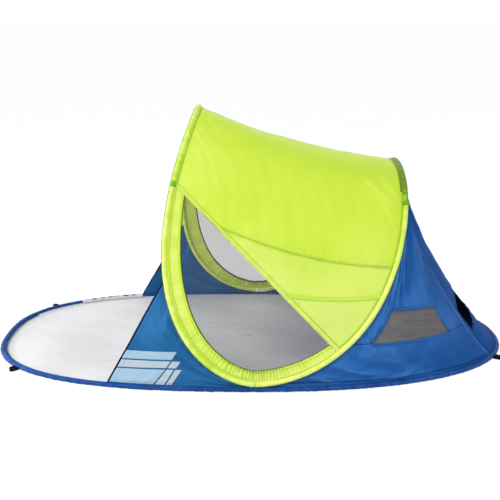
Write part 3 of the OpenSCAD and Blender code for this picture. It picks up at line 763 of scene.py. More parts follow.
def buildHoops():
    tie, ridge = shape["tieS"], shape["ridgeS"]
    spans = {"front_hoop_near": (frontCtrl, 0, tie), "front_hoop_top": (frontCtrl, tie, 2 - tie),
             "front_hoop_far": (frontCtrl, 2 - tie, 2), "rear_hoop_near": (rearCtrl, 0, ridge),
             "rear_hoop_top": (rearCtrl, ridge, 2 - ridge), "rear_hoop_far": (rearCtrl, 2 - ridge, 2)}
    for i, (name, (ctrl, start, end)) in enumerate(spans.items()):
        onFront, onTop = ctrl is frontCtrl, name.endswith("top")
        s = np.linspace(start, end, int((end - start) * hoopReach / sleeveSpec["every"]))
        path, way = hoop(ctrl, s), hoopWay(ctrl, s)
        other = hoop(rearCtrl if onFront else frontCtrl, s)
        fins = [across(other - path, way)] if onTop else []
        fromFoot = np.minimum(s, 2 - s)
        cloth, paler = hoopCloth, 0.55 + 0.4 * np.exp(-(fromFoot / 0.16) ** 2)
        if onTop:
            paler = 0.0 * s
        if onTop and not onFront:
            cloth, paler = crownCloth, 1.2 * np.exp(-((fromFoot - ridge) / 0.05) ** 2)
        sleevePiece(f"{name}_sleeve", path, way, cloth, 60 + i, fins, tone=paler)
        away = path - other if onFront else path - insidePoint
        keep = fromFoot > sleeveSpec["seamFrom"]
        # the fins' colours are painted light: dark olive shade on the front hoop, a pale highlight in gusset
        # cloth low on the rear hoop, the crown's colour on its top
        edge = sleeveLimbShade if onFront else crownCloth if onTop else gussetCloth
        sleeveSeam(f"{name}_seam", path[keep], way[keep], away[keep], edge)


buildRim()
buildHoops()
print("sleeves sewn")

# Canopy

canopySpec = {"swell": 0.0028, "folds": 46, "foldHeight": 0.0030, "puckerHeight": 0.0016,
              "puckerEvery": 0.016, "groove": 0.0018, "hemBeat": 0.0022, "hemFold": 0.016, "felled": 0.016,
              "crownLap": 0.010, "crownFrom": 0.74, "seed": 21}


def canopyBase(u, w):
    # u from the front hoop to the rear one, w from the near hem over to the far hem at 2
    v = np.where(w > 1, 2 - w, w)
    sF = mix(shape["tieS"], 1, v)
    sR = mix(shape["hemS"], 1, v)
    front, rear = offHoop(frontCtrl, sF, hoop(rearCtrl, sR)), offHoop(rearCtrl, sR, hoop(frontCtrl, sF))
    p = mix(front, rear, column(u))
    inward = unit(np.array([footX, 0, 0.35 * frontH]) - p)
    p = p + column(4 * u * (1 - u) * shape["roofSag"] * v * v) * inward
    return np.where(column(w) > 1, flipY(p), p)


canopyLong = 0.90                                       # rough size of u and of w, in metres
canopyHigh = 0.80


def canopyFolds():
    rng = np.random.default_rng(canopySpec["seed"])
    lines = []
    for _ in range(canopySpec["folds"]):
        side, at, turn, size, up = rng.uniform(0, 1, 5)
        w = 0.25 + 1.5 * at
        y = w * canopyHigh
        reach = 0.08 + 0.20 * size
        high = canopySpec["foldHeight"] * (0.35 + 0.65 * up)
        if side < 0.45:                                 # from the front hoop, running back and down
            lines.append([0.0, y, reach, y - reach * (0.5 + turn) * np.sign(1 - w),
                          0.008 + 0.010 * size, high * 0.7])
        else:                                           # from the rear hoop, running forward and up
            lines.append([canopyLong, y, canopyLong - reach, y + reach * (0.3 + 1.2 * turn) * np.sign(1 - w),
                          0.007 + 0.010 * size, high])
    return lines


canopyLines = canopyFolds()


def seamV(i, u):
    start = shape["seamU"][i]
    return shape["seamV"][i] * (u - start) / (1 - start)


def canopyHeight(u, w):
    v = np.where(w > 1, 2 - w, w)
    x, y = u * canopyLong, w * canopyHigh
    inner = fade(u, 12)
    h = canopySpec["swell"] * waves(x, y, 8, 0.45) * inner
    h = h + 0.0012 * waves(x * 1.3 + y, y, 9, 0.14) * inner
    h = h + creases(x, y, canopyLines) * fade(u, 25)
    for i, start in enumerate(shape["seamU"]):          # each seam draws in a groove, with puckers across it
        off = (v - np.maximum(seamV(i, u), 0)) * canopyHigh * 0.82
        near = np.exp(-(off / 0.012) ** 2) * (u > start)
        wide = np.exp(-(np.maximum(off, 0) / 0.028) ** 2) * (off > -0.004) * (u > start)
        beat = np.sin(2 * math.pi * u * canopyLong / canopySpec["puckerEvery"] + 3 * waves(x, y, 13 + i, 0.1))
        pucker = canopySpec["puckerHeight"] * (1 - 0.8 * i) * wide * beat * smooth((u - 0.3) * 2)
        h = h - canopySpec["groove"] * near + pucker
    hemBeat = waves(x, 0 * y, 17, 0.06)
    return h + canopySpec["hemBeat"] * hemBeat * np.exp(-(v * canopyHigh / 0.05) ** 2) * fade(u, 8)


canopy = makePanel(canopyBase, canopyHeight)


def canopyPart(name, u, low, high, rows, material, nodes, far=False):
    gridU, gridB = grid(u, np.linspace(0, 1, rows))
    w = mix(low(gridU), high(gridU), gridB)
    v = np.where(w > 1, 2 - w, w)                       # painted light: paler low down, as if lit by the white floor
    # painted shade and highlight: fold crests lighter, troughs darker
    shade = np.clip(canopyHeight(gridU, w) / 0.009 + 0.7 - 1.5 * v, -1, 1)
    pts, shade = faceOut(canopy, panelPoint(canopy, gridU, w), shade)
    piece = gridMesh(name, pts, material, nodes, clothThick, None, far, shade)
    declareSheet(piece, canopyBase(gridU, w))


def buildCanopy():
    start0, start1 = shape["seamU"]

    def lowEdge(u):
        return np.where(u > start0, seamV(0, u), 0.0)

    u = np.unique(np.concatenate([np.linspace(0, 1, 150), [start0]]))
    canopyPart("canopy_roof_cloth", u, lowEdge, lambda x: 2 - lowEdge(x), 300, canopyCloth, ["canopy_roof"])
    hem, hemAt = canopySpec["hemFold"], canopySpec["hemFold"] / canopyHigh
    for side, far in sides.items():
        uSide = np.unique(np.concatenate([np.linspace(start0 + 0.001, 1, 130), [start1]]))
        canopyPart(f"canopy_side_{side}_cloth", uSide, lambda x: np.where(x > start1, seamV(1, x), 0.0),
                   lambda x: seamV(0, x), 44, sideClothPaintedLit, [f"canopy_side_{side}"], far)
        canopyPart(f"canopy_corner_{side}_cloth", np.linspace(start1 + 0.004, 1, 60), lambda x: 0 * x,
                   lambda x: seamV(1, x), 34, cornerClothPaintedLit, [f"canopy_corner_{side}"], far)
        canopyBands(side, far, hem, hemAt)
        sewCanopy(far, hemAt)


def canopyBands(side, far, hem, hemAt):
    t = np.linspace(0.0, 1.0, 240)
    bandOn(f"hem_fold_{side}", canopy, t, 0.5 * hemAt + 0 * t, hem, gussetCloth, far, 0.0012)
    # painted shadow along the hem fold's inner edge
    bandOn(f"hem_painted_shade_{side}", canopy, t, 1.07 * hemAt + 0 * t, 0.0024, limeSeamShade, far, 0.0014)
    # the first seam's band is painted shade in its gutter; the second is the felled seam's doubled cloth
    seamBands = ((0.0022, limeSeamShade, 0.0009), (canopySpec["felled"], felledCloth, 0.0012))
    for i, (width, cloth, lift) in enumerate(seamBands):
        s = np.linspace(shape["seamU"][i] + 0.012, 1, 200)
        bandOn(f"canopy_seam_{i + 1}_{side}", canopy, s, seamV(i, s), width, cloth, far, lift)
    w = np.linspace(canopySpec["crownFrom"], 1, 120)
    a, b = stepAside(canopy, 1 + 0 * w, w, canopySpec["crownLap"] / 2 + 0.001)
    bandOn(f"crown_lap_{side}", canopy, a, b, canopySpec["crownLap"], crownCloth, far, 0.0016)
    # painted shade along each hoop's seam with the canopy
    w = np.linspace(0.0, 1.0, 260)
    for edge, name, aside in ((0, "front", -0.0055), (1, "rear", 0.0055)):
        a, b = stepAside(canopy, edge + 0 * w, w, aside)
        bandOn(f"hoop_painted_shade_{name}_{side}", canopy, a, b, 0.0032, limeSeamShade, far, 0.0008)


def sewCanopy(far, hemAt):
    t = np.linspace(0.01, 0.99, 300)
    for share, lift in ((1.02, 0.0016), (0.25, 0.0034)):
        markSeam("lime", canopy, t, hemAt * share + 0 * t, 0, far, lift)
    s = np.linspace(shape["seamU"][0] + 0.02, 0.99, 240)
    for dist in (-0.0045, 0.0045):
        markSeam("lime", canopy, s, seamV(0, s), dist, far, 0.0012)
    s = np.linspace(shape["seamU"][1] + 0.02, 0.99, 160)
    markSeam("lime", canopy, s, seamV(1, s), -0.0065, far, 0.0030)
    w = np.linspace(0.005, 1.0, 300)
    for edge, dist in ((0, -0.008), (1, 0.008)):
        markSeam("lime", canopy, edge + 0 * w, w, dist, far, 0.0010)


buildCanopy()
print("canopy hung")

# Gussets and side screens

gussetSpec = {"frontSteps": 26, "rearSteps": 12, "long": 1.45, "widen": 1.6, "pucker": 0.0034,
              "puckerEvery": 0.021, "sleeve": 0.011}
screenSpec = {"long": 0.9, "high": 0.4, "swell": 0.003, "ripple": 0.0008}
gussetTurn = gussetSpec["frontSteps"] / (gussetSpec["frontSteps"] + gussetSpec["rearSteps"])
hemFront = canopyBase(np.array(0.0), np.array(0.0))
hemRear = canopyBase(np.array(1.0), np.array(0.0))
hemWay = unit(hemRear - hemFront)
hemLength = float(np.linalg.norm(hemRear - hemFront))
openingMid = mix(np.array([footX, -rimB, hoopZ]), mix(hemFront, hemRear, 0.5), 0.65)


def gussetEdges(t):
    # t runs down the front hoop from the tie, round the foot and up the rear hoop to the hem
    front, rear = gussetSpec["frontSteps"], gussetSpec["rearSteps"]
    k = np.asarray(t, float) * (front + rear)
    onFront = k <= front
    sF, sR = np.clip((front - k) / hoopSteps, 0, 1), np.clip((k - front) / hoopSteps, 0, 1)
    outer = np.where(column(onFront), offHoop(frontCtrl, sF, openingMid), offHoop(rearCtrl, sR, openingMid))
    way = np.where(column(onFront), -hoopWay(frontCtrl, sF), hoopWay(rearCtrl, sR))
    share = np.clip(np.where(onFront, (front - k) / front, (k - front) / rear), 0, 1)
    square = across(openingMid - outer, way)
    ends = np.where(column(onFront), hemWay, -hemWay)
    lean = unit(mix(square, ends, column(share ** 4)))
    high = np.where(onFront, smooth(gussetSpec["widen"] * share), 0)
    width = mix(shape["gussetFootW"], shape["gussetW"], high)
    width = mix(width, np.where(onFront, *shape["gussetEnds"]), share ** 4)
    return outer, outer + column(width) * lean


def gussetBase(t, j):
    outer, inner = gussetEdges(np.clip(t, 0, 1))
    return mix(outer, inner, column(j))


def gussetHeight(t, j):
    x = t * gussetSpec["long"]
    foot = np.exp(-((t - gussetTurn) / 0.16) ** 2)
    beat = np.sin(2 * math.pi * x / gussetSpec["puckerEvery"] + 2.5 * waves(x, j * 0.05, 32, 0.09))
    h = gussetSpec["pucker"] * (0.25 + 0.9 * foot) * beat * (0.35 + 0.65 * np.clip(j, 0, 1))
    h = h + 0.0018 * waves(x, j * 0.05, 33, 0.12)
    return h * smooth(j * 5 + 0.1) * fade(t, 30)


gussetPanel = makePanel(gussetBase, gussetHeight)


def screenBase(t, j):
    inner = gussetEdges(np.clip(t, 0, 1))[1]
    top = hemFront + column(mix(shape["gussetEnds"][0], hemLength - shape["gussetEnds"][1], t)) * hemWay
    return mix(inner, top, column(j))


def screenHeight(t, j):
    x, y = t * screenSpec["long"], j * screenSpec["high"]
    h = screenSpec["swell"] * waves(x, y, 35, 0.25) + screenSpec["ripple"] * waves(x, y, 36, 0.05)
    return h * fade(j, 6)


screenPanel = makePanel(screenBase, screenHeight)


def buildSides():
    slot, j = "gusset_cloth", np.linspace(0, 1, 14)
    parts = {"front": np.linspace(0.0005, gussetTurn, 340), "rear": np.linspace(gussetTurn, 0.9995, 170)}
    for side, far in sides.items():
        for part, t in parts.items():
            piece = clothPiece(f"gusset_{part}_{side}_cloth", gussetPanel, t, j, gussetCloth,
                               [f"gusset_{part}_{side}"], clothThick, far)
            declareSheet(piece, gussetBase(*grid(t, j)))
        t = np.linspace(0.001, 0.999, 240)
        bandOn(f"gusset_binding_{side}", gussetPanel, t, 0.88 + 0 * t, 0.010, hoopCloth, far,
               0.0010, 0.0008)
        for face, lift in (("outer", 0.0006), ("inner", -0.0024)):
            bandOn(f"screen_tape_{face}_{side}", gussetPanel, t, 1.0 + 0 * t, 0.0040, screenTape, far,
                   lift, 0.0005)
        markSeam("lime", gussetPanel, t, 0.80 + 0 * t, 0, far, 0.0010)
        gussetSleeveAndShade(side, far)
        foot = np.linspace(gussetTurn - 0.17, gussetTurn + 0.12, 200)
        markSeam("overlock", gussetPanel, foot, 0.98 + 0 * foot, 0, far, 0.0022, True)
        screen = clothPiece(f"side_screen_{side}", screenPanel, np.linspace(0.0, 1.0, 150),
                            np.linspace(-0.02, 1.0, 90), sideScreen, [f"side_mesh_{side}"],
                            0, far)
        declareSheet(screen, screenBase(*grid(np.linspace(0, 1, 60), np.linspace(0, 1, 30))))


def gussetSleeveAndShade(side, far):
    line = np.linspace(0.001, gussetTurn - 0.04, 160)   # the front sleeve's cloth runs on a little way
    bandOn(f"gusset_sleeve_{side}", gussetPanel, line, 0.10 + 0 * line, gussetSpec["sleeve"], hoopCloth,
           far, 0.0008, 0.0010)
    # painted shade along the gusset's seams
    for part, line, at in (("front", line, 0.20), ("rear", np.linspace(gussetTurn + 0.10, 0.999, 160), 0.06)):
        bandOn(f"gusset_painted_shade_{part}_{side}", gussetPanel, line, at + 0 * line, 0.0024, limeSeamShade,
               far, 0.0010, 0.0004)


buildSides()
print("gussets and side screens sewn in")

# Wings

wingSpec = {"folds": 22, "foldHeight": 0.0030, "swell": 0.003, "ripple": 0.0008, "binding": 0.006,
            "seed": 41, "a": [-0.18, 0, 1, 1.1],
            "s": [0.004, shape["wingLowS"], shape["wingS"], 18.5 / hoopSteps],
            "q": [-90.3, shape["apronQ"], shape["wingQ"], -121.3]}
wingLong, wingHigh = 0.45, 0.40                         # rough size, in metres


def wingBase(a, b):
    # a from the crossing to the free edge, b from the hoop down to the rim
    s = np.interp(a, wingSpec["a"], wingSpec["s"])
    q = np.interp(a, wingSpec["a"], wingSpec["q"])
    return mix(offHoop(frontCtrl, s, rim(q)), offRim(q, hoop(frontCtrl, s)), column(b))


def wingFolds():
    rng = np.random.default_rng(wingSpec["seed"])
    lines = []
    for _ in range(wingSpec["folds"]):
        side, at, turn, size, up = rng.uniform(0, 1, 5)
        x = (0.1 + 0.85 * at) * wingLong
        reach = 0.05 + 0.14 * size
        high = wingSpec["foldHeight"] * (0.3 + 0.7 * up)
        if side < 0.6:
            lines.append([x, 0.0, x + reach * (turn - 0.7) * 0.7, reach, 0.005 + 0.007 * size, high])
        else:
            lines.append([x, wingHigh, x + reach * (turn - 0.4), wingHigh - reach * 0.6,
                          0.004 + 0.005 * size, high * 0.7])
    return lines


wingLines = wingFolds()


def wingHeight(a, b):
    x, y = a * wingLong, b * wingHigh
    h = wingSpec["swell"] * waves(x, y, 42, 0.22) + wingSpec["ripple"] * waves(x, y, 43, 0.06)
    h = h + creases(x, y, wingLines)
    return h * fade(b, 16)


wing = makePanel(wingBase, wingHeight)


def buildWings():
    for side, far in sides.items():
        cloth = clothPiece(f"wing_{side}_cloth", wing, np.linspace(-0.18, 1.0, 120), np.linspace(0, 1.0, 90),
                           wingCloth, [f"wing_{side}"], clothThick, far)
        line = np.linspace(0, 1, 40)
        declareSheet(cloth, wingBase(*grid(line, line)))
        b = np.linspace(0.0, 1.0, 160)
        edgeA, edgeB = stepAside(wing, 1.0 + 0 * b, b, sideWay(wing) * wingSpec["binding"] / 2)
        bandOn(f"wing_binding_{side}_tape", wing, edgeA, edgeB, wingSpec["binding"], bindingTape,
               far, 0.0006, 0.0012, [f"wing_binding_{side}"])
        a = np.linspace(-0.1, 0.995, 160)
        markSeam("navy", wing, a, 0 * a, edgeWay(wing) * 0.012, far)
        markSeam("navy", wing, a, 1 + 0 * a, -edgeWay(wing) * 0.010, far)
        markSeam("navy", wing, 0.965 + 0 * b, b, 0, far)


# The printed bars near the foot of the free edge: corners in the side view, in metres
barSpec = {"lift": 0.0009, "thick": 0.0003, "bars": [
    ("pale", [(-0.425, 0.127), (-0.250, 0.127), (-0.267, 0.101), (-0.442, 0.100)]),
    ("grey", [(-0.442, 0.096), (-0.271, 0.096), (-0.286, 0.074), (-0.457, 0.071)]),
    ("grey", [(-0.266, 0.096), (-0.237, 0.096), (-0.252, 0.074), (-0.281, 0.074)]),
    ("pale", [(-0.459, 0.067), (-0.289, 0.069), (-0.331, 0.020), (-0.487, 0.020)]),
    ("grey", [(-0.284, 0.069), (-0.260, 0.069), (-0.293, 0.020), (-0.325, 0.020)]),
    ("grey", [(-0.254, 0.069), (-0.233, 0.069), (-0.268, 0.020), (-0.287, 0.020)]),
]}


def wingAt(x, z):
    # the wing's own (a, b) under the side view point (x, z)
    a, b = 0.7 + 0 * x, 0.7 + 0 * x
    for _ in range(14):
        e = 0.002
        here = wingBase(a, b)
        alongA = (wingBase(a + e, b) - here) / e
        alongB = (wingBase(a, b + e) - here) / e
        missX, missZ = x - here[..., 0], z - here[..., 2]
        det = alongA[..., 0] * alongB[..., 2] - alongB[..., 0] * alongA[..., 2]
        a = np.clip(a + (missX * alongB[..., 2] - missZ * alongB[..., 0]) / det, 0.1, 1.05)
        b = np.clip(b + (missZ * alongA[..., 0] - missX * alongA[..., 2]) / det, 0.05, 0.995)
    return a, b


def buildBars():
    s, t = grid(np.linspace(0, 1, 40), np.linspace(0, 1, 14))
    for i, (tone, corners) in enumerate(barSpec["bars"]):
        (x0, z0), (x1, z1), (x2, z2), (x3, z3) = corners
        a, b = wingAt(mix(mix(x0, x1, s), mix(x3, x2, s), t), mix(mix(z0, z1, s), mix(z3, z2, s), t))
        pts = panelPoint(wing, a, b, barSpec["lift"])
        n = np.cross(pts[1, 0] - pts[0, 0], pts[0, 1] - pts[0, 0])
        if np.dot(n, outNormal(wing, a[:1, 0], b[:1, 0])[0]) < 0:
            pts = pts[:, ::-1]
        for side, far in sides.items():
            gridMesh(f"wing_bar_{i + 1}_{side}", pts, printPale if tone == "pale" else printGrey,
                     (), barSpec["thick"], None, far)


buildWings()
buildBars()
print("wings hung")

# Tail

tailSpec = {"toe": 3 / hoopSteps, "rimToe": 3.5, "corner": 40, "folds": 90, "foldHeight": 0.0056,
            "panelSag": 0.020, "swell": 0.0040, "seed": 51, "windowHem": 0.012, "screenBack": -0.0012}
ridgeTop = offHoop(rearCtrl, np.array(shape["ridgeS"]),
                   np.array([rearX + 0.15, -0.5 * rimB, 0.5 * rearH]))
ridgeFoot = offRim(np.array(shape["ridgeQ"]), np.array([0.7 * rimA, -0.4 * rimB, 0.2]))
ridgeCtrl = [ridgeTop, np.array([rearX - 0.009, -0.508 * rimB, 0.71 * rearH]),
             np.array([0.828 * rimA, -0.5 * rimB, 0.142 * rearH]), ridgeFoot]
ridgeMid = bezier(ridgeCtrl, np.array(0.5))


def ridge(h):
    return bezier(ridgeCtrl, 1 - np.asarray(h, float))


def wallEdge(h):
    s = mix(shape["wallLowS"], shape["ridgeS"], h) - tailSpec["toe"] * np.clip(1 - h, 0, 1) ** 30
    return offHoop(rearCtrl, s, ridge(h))


def wallFoot(w, toe=0.0):
    # toe carries the first stretch of the foot on towards the crossing, in degrees round the rim
    q = mix(shape["wallQ"], shape["ridgeQ"], w) - toe * np.clip(1 - w, 0, 1) ** 8
    return offRim(q, mix(hoop(rearCtrl, np.array(0.35)), ridgeMid, column(w)))


def wallBase(w, h):
    # w from the rear hoop to the ridge, h from the rim up to the crown's end
    a, b = wallEdge(h), ridge(h)
    ends = mix(wallFoot(np.array(0.0)), wallFoot(np.array(1.0)), column(w))
    corner = wallFoot(np.array(0.0)) - wallEdge(np.array(0.0))
    low = column(np.clip(1 - h, 0, 1) ** tailSpec["corner"])
    toe = column(np.clip(1 - w, 0, 1)) * corner + wallFoot(w, tailSpec["rimToe"]) - wallFoot(w)
    return mix(a, b, column(w)) + column(1 - h) * (wallFoot(w) - ends) + low * toe


wallLong, wallHigh = 0.60, 0.80                         # rough size, in metres
windowCorners = {(0, 0): (2.0 / 14, 9.48 / 27), (1, 0): (10.08 / 14, 8.41 / 27),
                 (0, 1): (2.37 / 14, 13.82 / 27), (1, 1): (9.0 / 14, 12.51 / 27)}
windowGrid = {"w": (3 / 14, 9 / 14), "h": (9 / 27, 13 / 27)}


def windowWarp(w, h):
    # shifts an even grid so that its window cell fits the real window's four corners
    w0, w1 = windowGrid["w"]
    h0, h1 = windowGrid["h"]
    hatsW = [np.interp(w, [0, w0, w1, 1], [0, 1, 0, 0]), np.interp(w, [0, w0, w1, 1], [0, 0, 1, 0])]
    hatsH = [np.interp(h, [0, h0, h1, 1], [0, 1, 0, 0]), np.interp(h, [0, h0, h1, 1], [0, 0, 1, 0])]
    newW, newH = w + 0.0, h + 0.0
    for (i, j), (cw, ch) in windowCorners.items():
        share = hatsW[i] * hatsH[j]
        newW = newW + share * (cw - (w0, w1)[i])
        newH = newH + share * (ch - (h0, h1)[j])
    return newW, newH


def wallFolds():
    rng = np.random.default_rng(tailSpec["seed"])
    lines = []
    for _ in range(tailSpec["folds"]):
        side, at, turn, size, up = rng.uniform(0, 1, 5)
        high = tailSpec["foldHeight"] * (0.25 + 0.75 * up)
        if side < 0.55:                                 # down from the crown and the upper hoop
            y = (0.55 + 0.45 * at) * wallHigh
            reach = 0.12 + 0.25 * size
            lines.append([0.0, y, reach * (0.25 + 0.5 * turn), y - reach, 0.004 + 0.006 * size, high])
        elif side < 0.8:                                # slanting down to the tail from the lower hoop
            y = (0.1 + 0.4 * at) * wallHigh
            reach = 0.10 + 0.2 * size
            lines.append([0.0, y, reach, y - reach * (0.35 + 0.5 * turn), 0.004 + 0.006 * size, high * 0.8])
        else:                                           # up from the rim
            x = (0.15 + 0.8 * at) * wallLong
            reach = 0.05 + 0.1 * size
            lines.append([x, 0.0, x + reach * (turn - 0.3), reach, 0.005 + 0.006 * size, high * 0.6])
    return lines


wallLines = wallFolds()


def wallHeight(w, h):
    x, y = w * wallLong, h * wallHigh
    lift = tailSpec["swell"] * waves(x, y, 52, 0.30) + 0.0012 * waves(x, y, 53, 0.08)
    lift = lift + creases(x, y, wallLines)
    nearRidge = np.exp(-(((1 - w) * wallLong - 0.035) / 0.012) ** 2)
    lift = lift + 0.0035 * nearRidge * smooth((1 - h) * 8)
    return lift * smooth(w * 18) * smooth((1 - w) * 25) * fade(h, 20)


wall = makePanel(wallBase, wallHeight)


def panelTop(u):
    # the end panel's top, on the crown of the rear hoop
    near = np.minimum(u, 1 - u)
    s = mix(shape["ridgeS"], 1, np.clip(2 * near, 0, 1))
    p = offHoop(rearCtrl, s, np.array([rearX + 0.15, -0.3 * rimB, 0.4 * rearH]))
    return np.where(column(u) > 0.5, flipY(p), p)


def panelFoot(u):
    return offRim(mix(shape["ridgeQ"], -shape["ridgeQ"], u), np.array([0.7 * rimA, 0, 0.25]))


def endBase(u, v):
    # u from the near ridge to the far one, v from the crown down to the rim
    zero, one = np.array(0.0), np.array(1.0)
    top, foot = panelTop(np.clip(u, 0, 1)), panelFoot(u)
    near = ridge(1 - v) - mix(panelTop(zero), panelFoot(zero), column(v))
    far = flipY(ridge(1 - v)) - mix(panelTop(one), panelFoot(one), column(v))
    sag = tailSpec["panelSag"] * 16 * u * (1 - u) * v * (1 - v)
    pulled = column(1 - u) * near + column(u) * far
    return mix(top, foot, column(v)) + pulled - column(sag) * np.array([1, 0, 0])


endSpec = {"folds": 34, "foldHeight": 0.0035, "swell": 0.004, "ripple": 0.001, "seed": 61}
endLong, endHigh = 0.62, 0.75                           # rough size, in metres


def endFolds():
    rng = np.random.default_rng(endSpec["seed"])
    lines = []
    for at, turn, size, up in rng.uniform(0, 1, (endSpec["folds"], 4)):
        x = (0.05 + 0.9 * at) * endLong
        reach = 0.15 + 0.25 * size
        lines.append([x, 0.0, x + reach * (turn - 0.5) * 0.4, reach, 0.006 + 0.010 * size,
                      endSpec["foldHeight"] * (0.3 + 0.7 * up)])
    return lines


endLines = endFolds()


def endHeight(u, v):
    x, y = u * endLong, v * endHigh
    lift = endSpec["swell"] * waves(x, y, 62, 0.3) + endSpec["ripple"] * waves(x, y, 63, 0.08)
    return (lift + creases(x, y, endLines)) * fade(u, 16) * fade(v, 18)


endPanel = makePanel(endBase, endHeight)
ventSpec = {"u": (1.2 / 18, 16.8 / 18), "v": (9.2 / 14, 11.0 / 14), "hem": 0.012, "hemOff": 0.008}


def spaced(stops, counts):
    # even steps between stops, with each stop kept once
    rows = [np.linspace(a, b, n, endpoint=False) for a, b, n in zip(stops, stops[1:], counts)]
    return np.concatenate(rows + [np.array([stops[-1]])])


def inSpan(values, ends):
    # true for the cells of a grid that start between the two ends
    return (values[:-1, :-1] >= ends[0] - 1e-9) & (values[:-1, :-1] < ends[1] - 1e-9)


def lapped(ends, lap, count):
    return np.linspace(ends[0] - lap, ends[1] + lap, count)


def buildTail():
    spanW, spanH = windowGrid["w"], windowGrid["h"]
    gridW, gridH = grid(spaced([0, *spanW, 1], [30, 60, 40]), spaced([0, *spanH, 1], [54, 30, 84]))
    hole = inSpan(gridW, spanW) & inSpan(gridH, spanH)
    w, h = windowWarp(gridW, gridH)
    # painted light: fold crests lighter and the wall darker towards the ridge
    shade = np.clip(wallHeight(w, h) / 0.009 + 0.35 - 0.9 * w, -1, 1)
    screenW, screenH = windowWarp(*grid(lapped(spanW, 0.008, 90), lapped(spanH, 0.008, 50)))
    screenPts = panelPoint(wall, screenW, screenH, tailSpec["screenBack"])
    pts, shade, hole, screenPts = faceOut(wall, panelPoint(wall, w, h), shade, hole, screenPts)
    for side, far in sides.items():
        cloth = gridMesh(f"tail_wall_{side}_cloth", pts, tailCloth, [f"tail_wall_{side}"],
                         clothThick, hole, far, shade)
        window = gridMesh(f"tail_window_{side}_screen", screenPts, windowScreen,
                          [f"tail_window_{side}"], 0, None, far)
        declareSheet(cloth, wallBase(gridW, gridH), frameWindow(side, far))
        declareSheet(window, screenPts)
        sewWall(side, far)
    buildEndPanel()


def frameWindow(side, far):
    hems = []
    edges = {"top": ((0, 1), (1, 1), 1), "bottom": ((0, 0), (1, 0), -1),
             "front": ((0, 0), (0, 1), 1), "rear": ((1, 0), (1, 1), -1)}
    t = np.linspace(0, 1, 60)
    for name, (start, end, out) in edges.items():
        (a0, b0), (a1, b1) = windowCorners[start], windowCorners[end]
        aside = edgeWay(wall) * out * tailSpec["windowHem"] / 2
        a, b = stepAside(wall, mix(a0, a1, t), mix(b0, b1, t), aside)
        hems.append(bandOn(f"window_hem_{name}_{side}", wall, a, b, tailSpec["windowHem"], tailCloth,
                           far, 0.0012))
        for dist in (-0.0040, 0.0040):
            markSeam("black", wall, a, b, dist, far, 0.0030)
    return hems


def sewWall(side, far):
    sign, slot = edgeWay(wall), "tail_cloth"
    t = np.linspace(0.03, 0.97, 200)
    # painted highlight along the ridge fold, and painted shade along the foot seam
    bandOn(f"ridge_painted_highlight_{side}", wall, 0.984 + 0 * t, t, 0.0032, blueRidgeHighlight, far, 0.0010, 0.0010)
    bandOn(f"wall_foot_painted_shade_{side}", wall, t, 0.035 + 0.01 * t, 0.0024, blueSeamShade, far, 0.0008)
    t = np.linspace(0.01, 0.99, 260)
    markSeam("navy", wall, t, 0 * t, sign * 0.010, far)
    markSeam("navy", wall, 0 * t, t, -sign * 0.010, far)
    markSeam("navy", wall, 1 + 0 * t, t, sign * 0.006, far)
    (x0, y0), (x1, y1) = windowCorners[(0, 0)], windowCorners[(1, 0)]
    for part, a0, a1 in (("front", 0.02, x0), ("rear", x1, 0.97)):
        a = np.linspace(a0, a1, 60)
        b = y0 + (y1 - y0) / (x1 - x0) * (a - x0)
        markSeam("navy", wall, a, b, 0, far)
        # painted shade along the line through the window's foot
        bandOn(f"window_tuck_{part}_{side}", wall, a, b, 0.0026, blueSeamShade, far, 0.0008)


def buildEndPanel():
    spanU, spanV = ventSpec["u"], ventSpec["v"]
    gridU, gridV = grid(spaced([0, *spanU, 1], [10, 130, 10]), spaced([0, *spanV, 1], [90, 20, 46]))
    hole = inSpan(gridU, spanU) & inSpan(gridV, spanV)
    # painted shade and highlight on the end panel's folds
    shade = np.clip(endHeight(gridU, gridV) / 0.007, -1, 1)
    screenU, screenV = grid(lapped(spanU, 0.004, 120), lapped(spanV, 0.004, 20))
    screenPts = panelPoint(endPanel, screenU, screenV, tailSpec["screenBack"])
    pts = panelPoint(endPanel, gridU, gridV)
    pts, shade, hole, screenPts = faceOut(endPanel, pts, shade, hole, screenPts)
    cloth = gridMesh("tail_panel_cloth", pts, endClothShaded, ["tail_panel"], clothThick, hole,
                     False, shade)
    vent = gridMesh("tail_vent_screen", screenPts, ventScreen, ["tail_vent"], 0)
    t = np.linspace(*spanU, 120)
    hems = []
    for name, line in (("top", spanV[0] - ventSpec["hemOff"]), ("bottom", spanV[1] + ventSpec["hemOff"])):
        hems.append(bandOn(f"vent_hem_{name}", endPanel, t, line + 0 * t, ventSpec["hem"], endClothShaded,
                           False, 0.0012))
        markSeam("black", endPanel, t, line + 0 * t, 0, False, 0.0030)
    declareSheet(cloth, endBase(gridU, gridV), hems)
    declareSheet(vent, screenPts)
    sign = edgeWay(endPanel)
    u = np.linspace(0.01, 0.99, 240)
    markSeam("navy", endPanel, u, 0 * u, sign * 0.012)
    markSeam("navy", endPanel, u, 1 + 0 * u, -sign * 0.010)
    markSeam("navy", endPanel, 0 * u, u, -sign * 0.006)
    markSeam("navy", endPanel, 1 + 0 * u, u, sign * 0.006)


buildTail()
print("tail hung")

# Ties and peg loops

tieSpec = {"width": 0.016, "over": 1.22, "edgeDrop": 0.10, "ripple": 0.03, "thick": 0.0010,
           "round": 30, "rows": 9}
loopSpec = {"reach": 0.030, "width": 0.022, "tape": 0.014, "thick": 0.0022, "frontShare": 5 / 24}


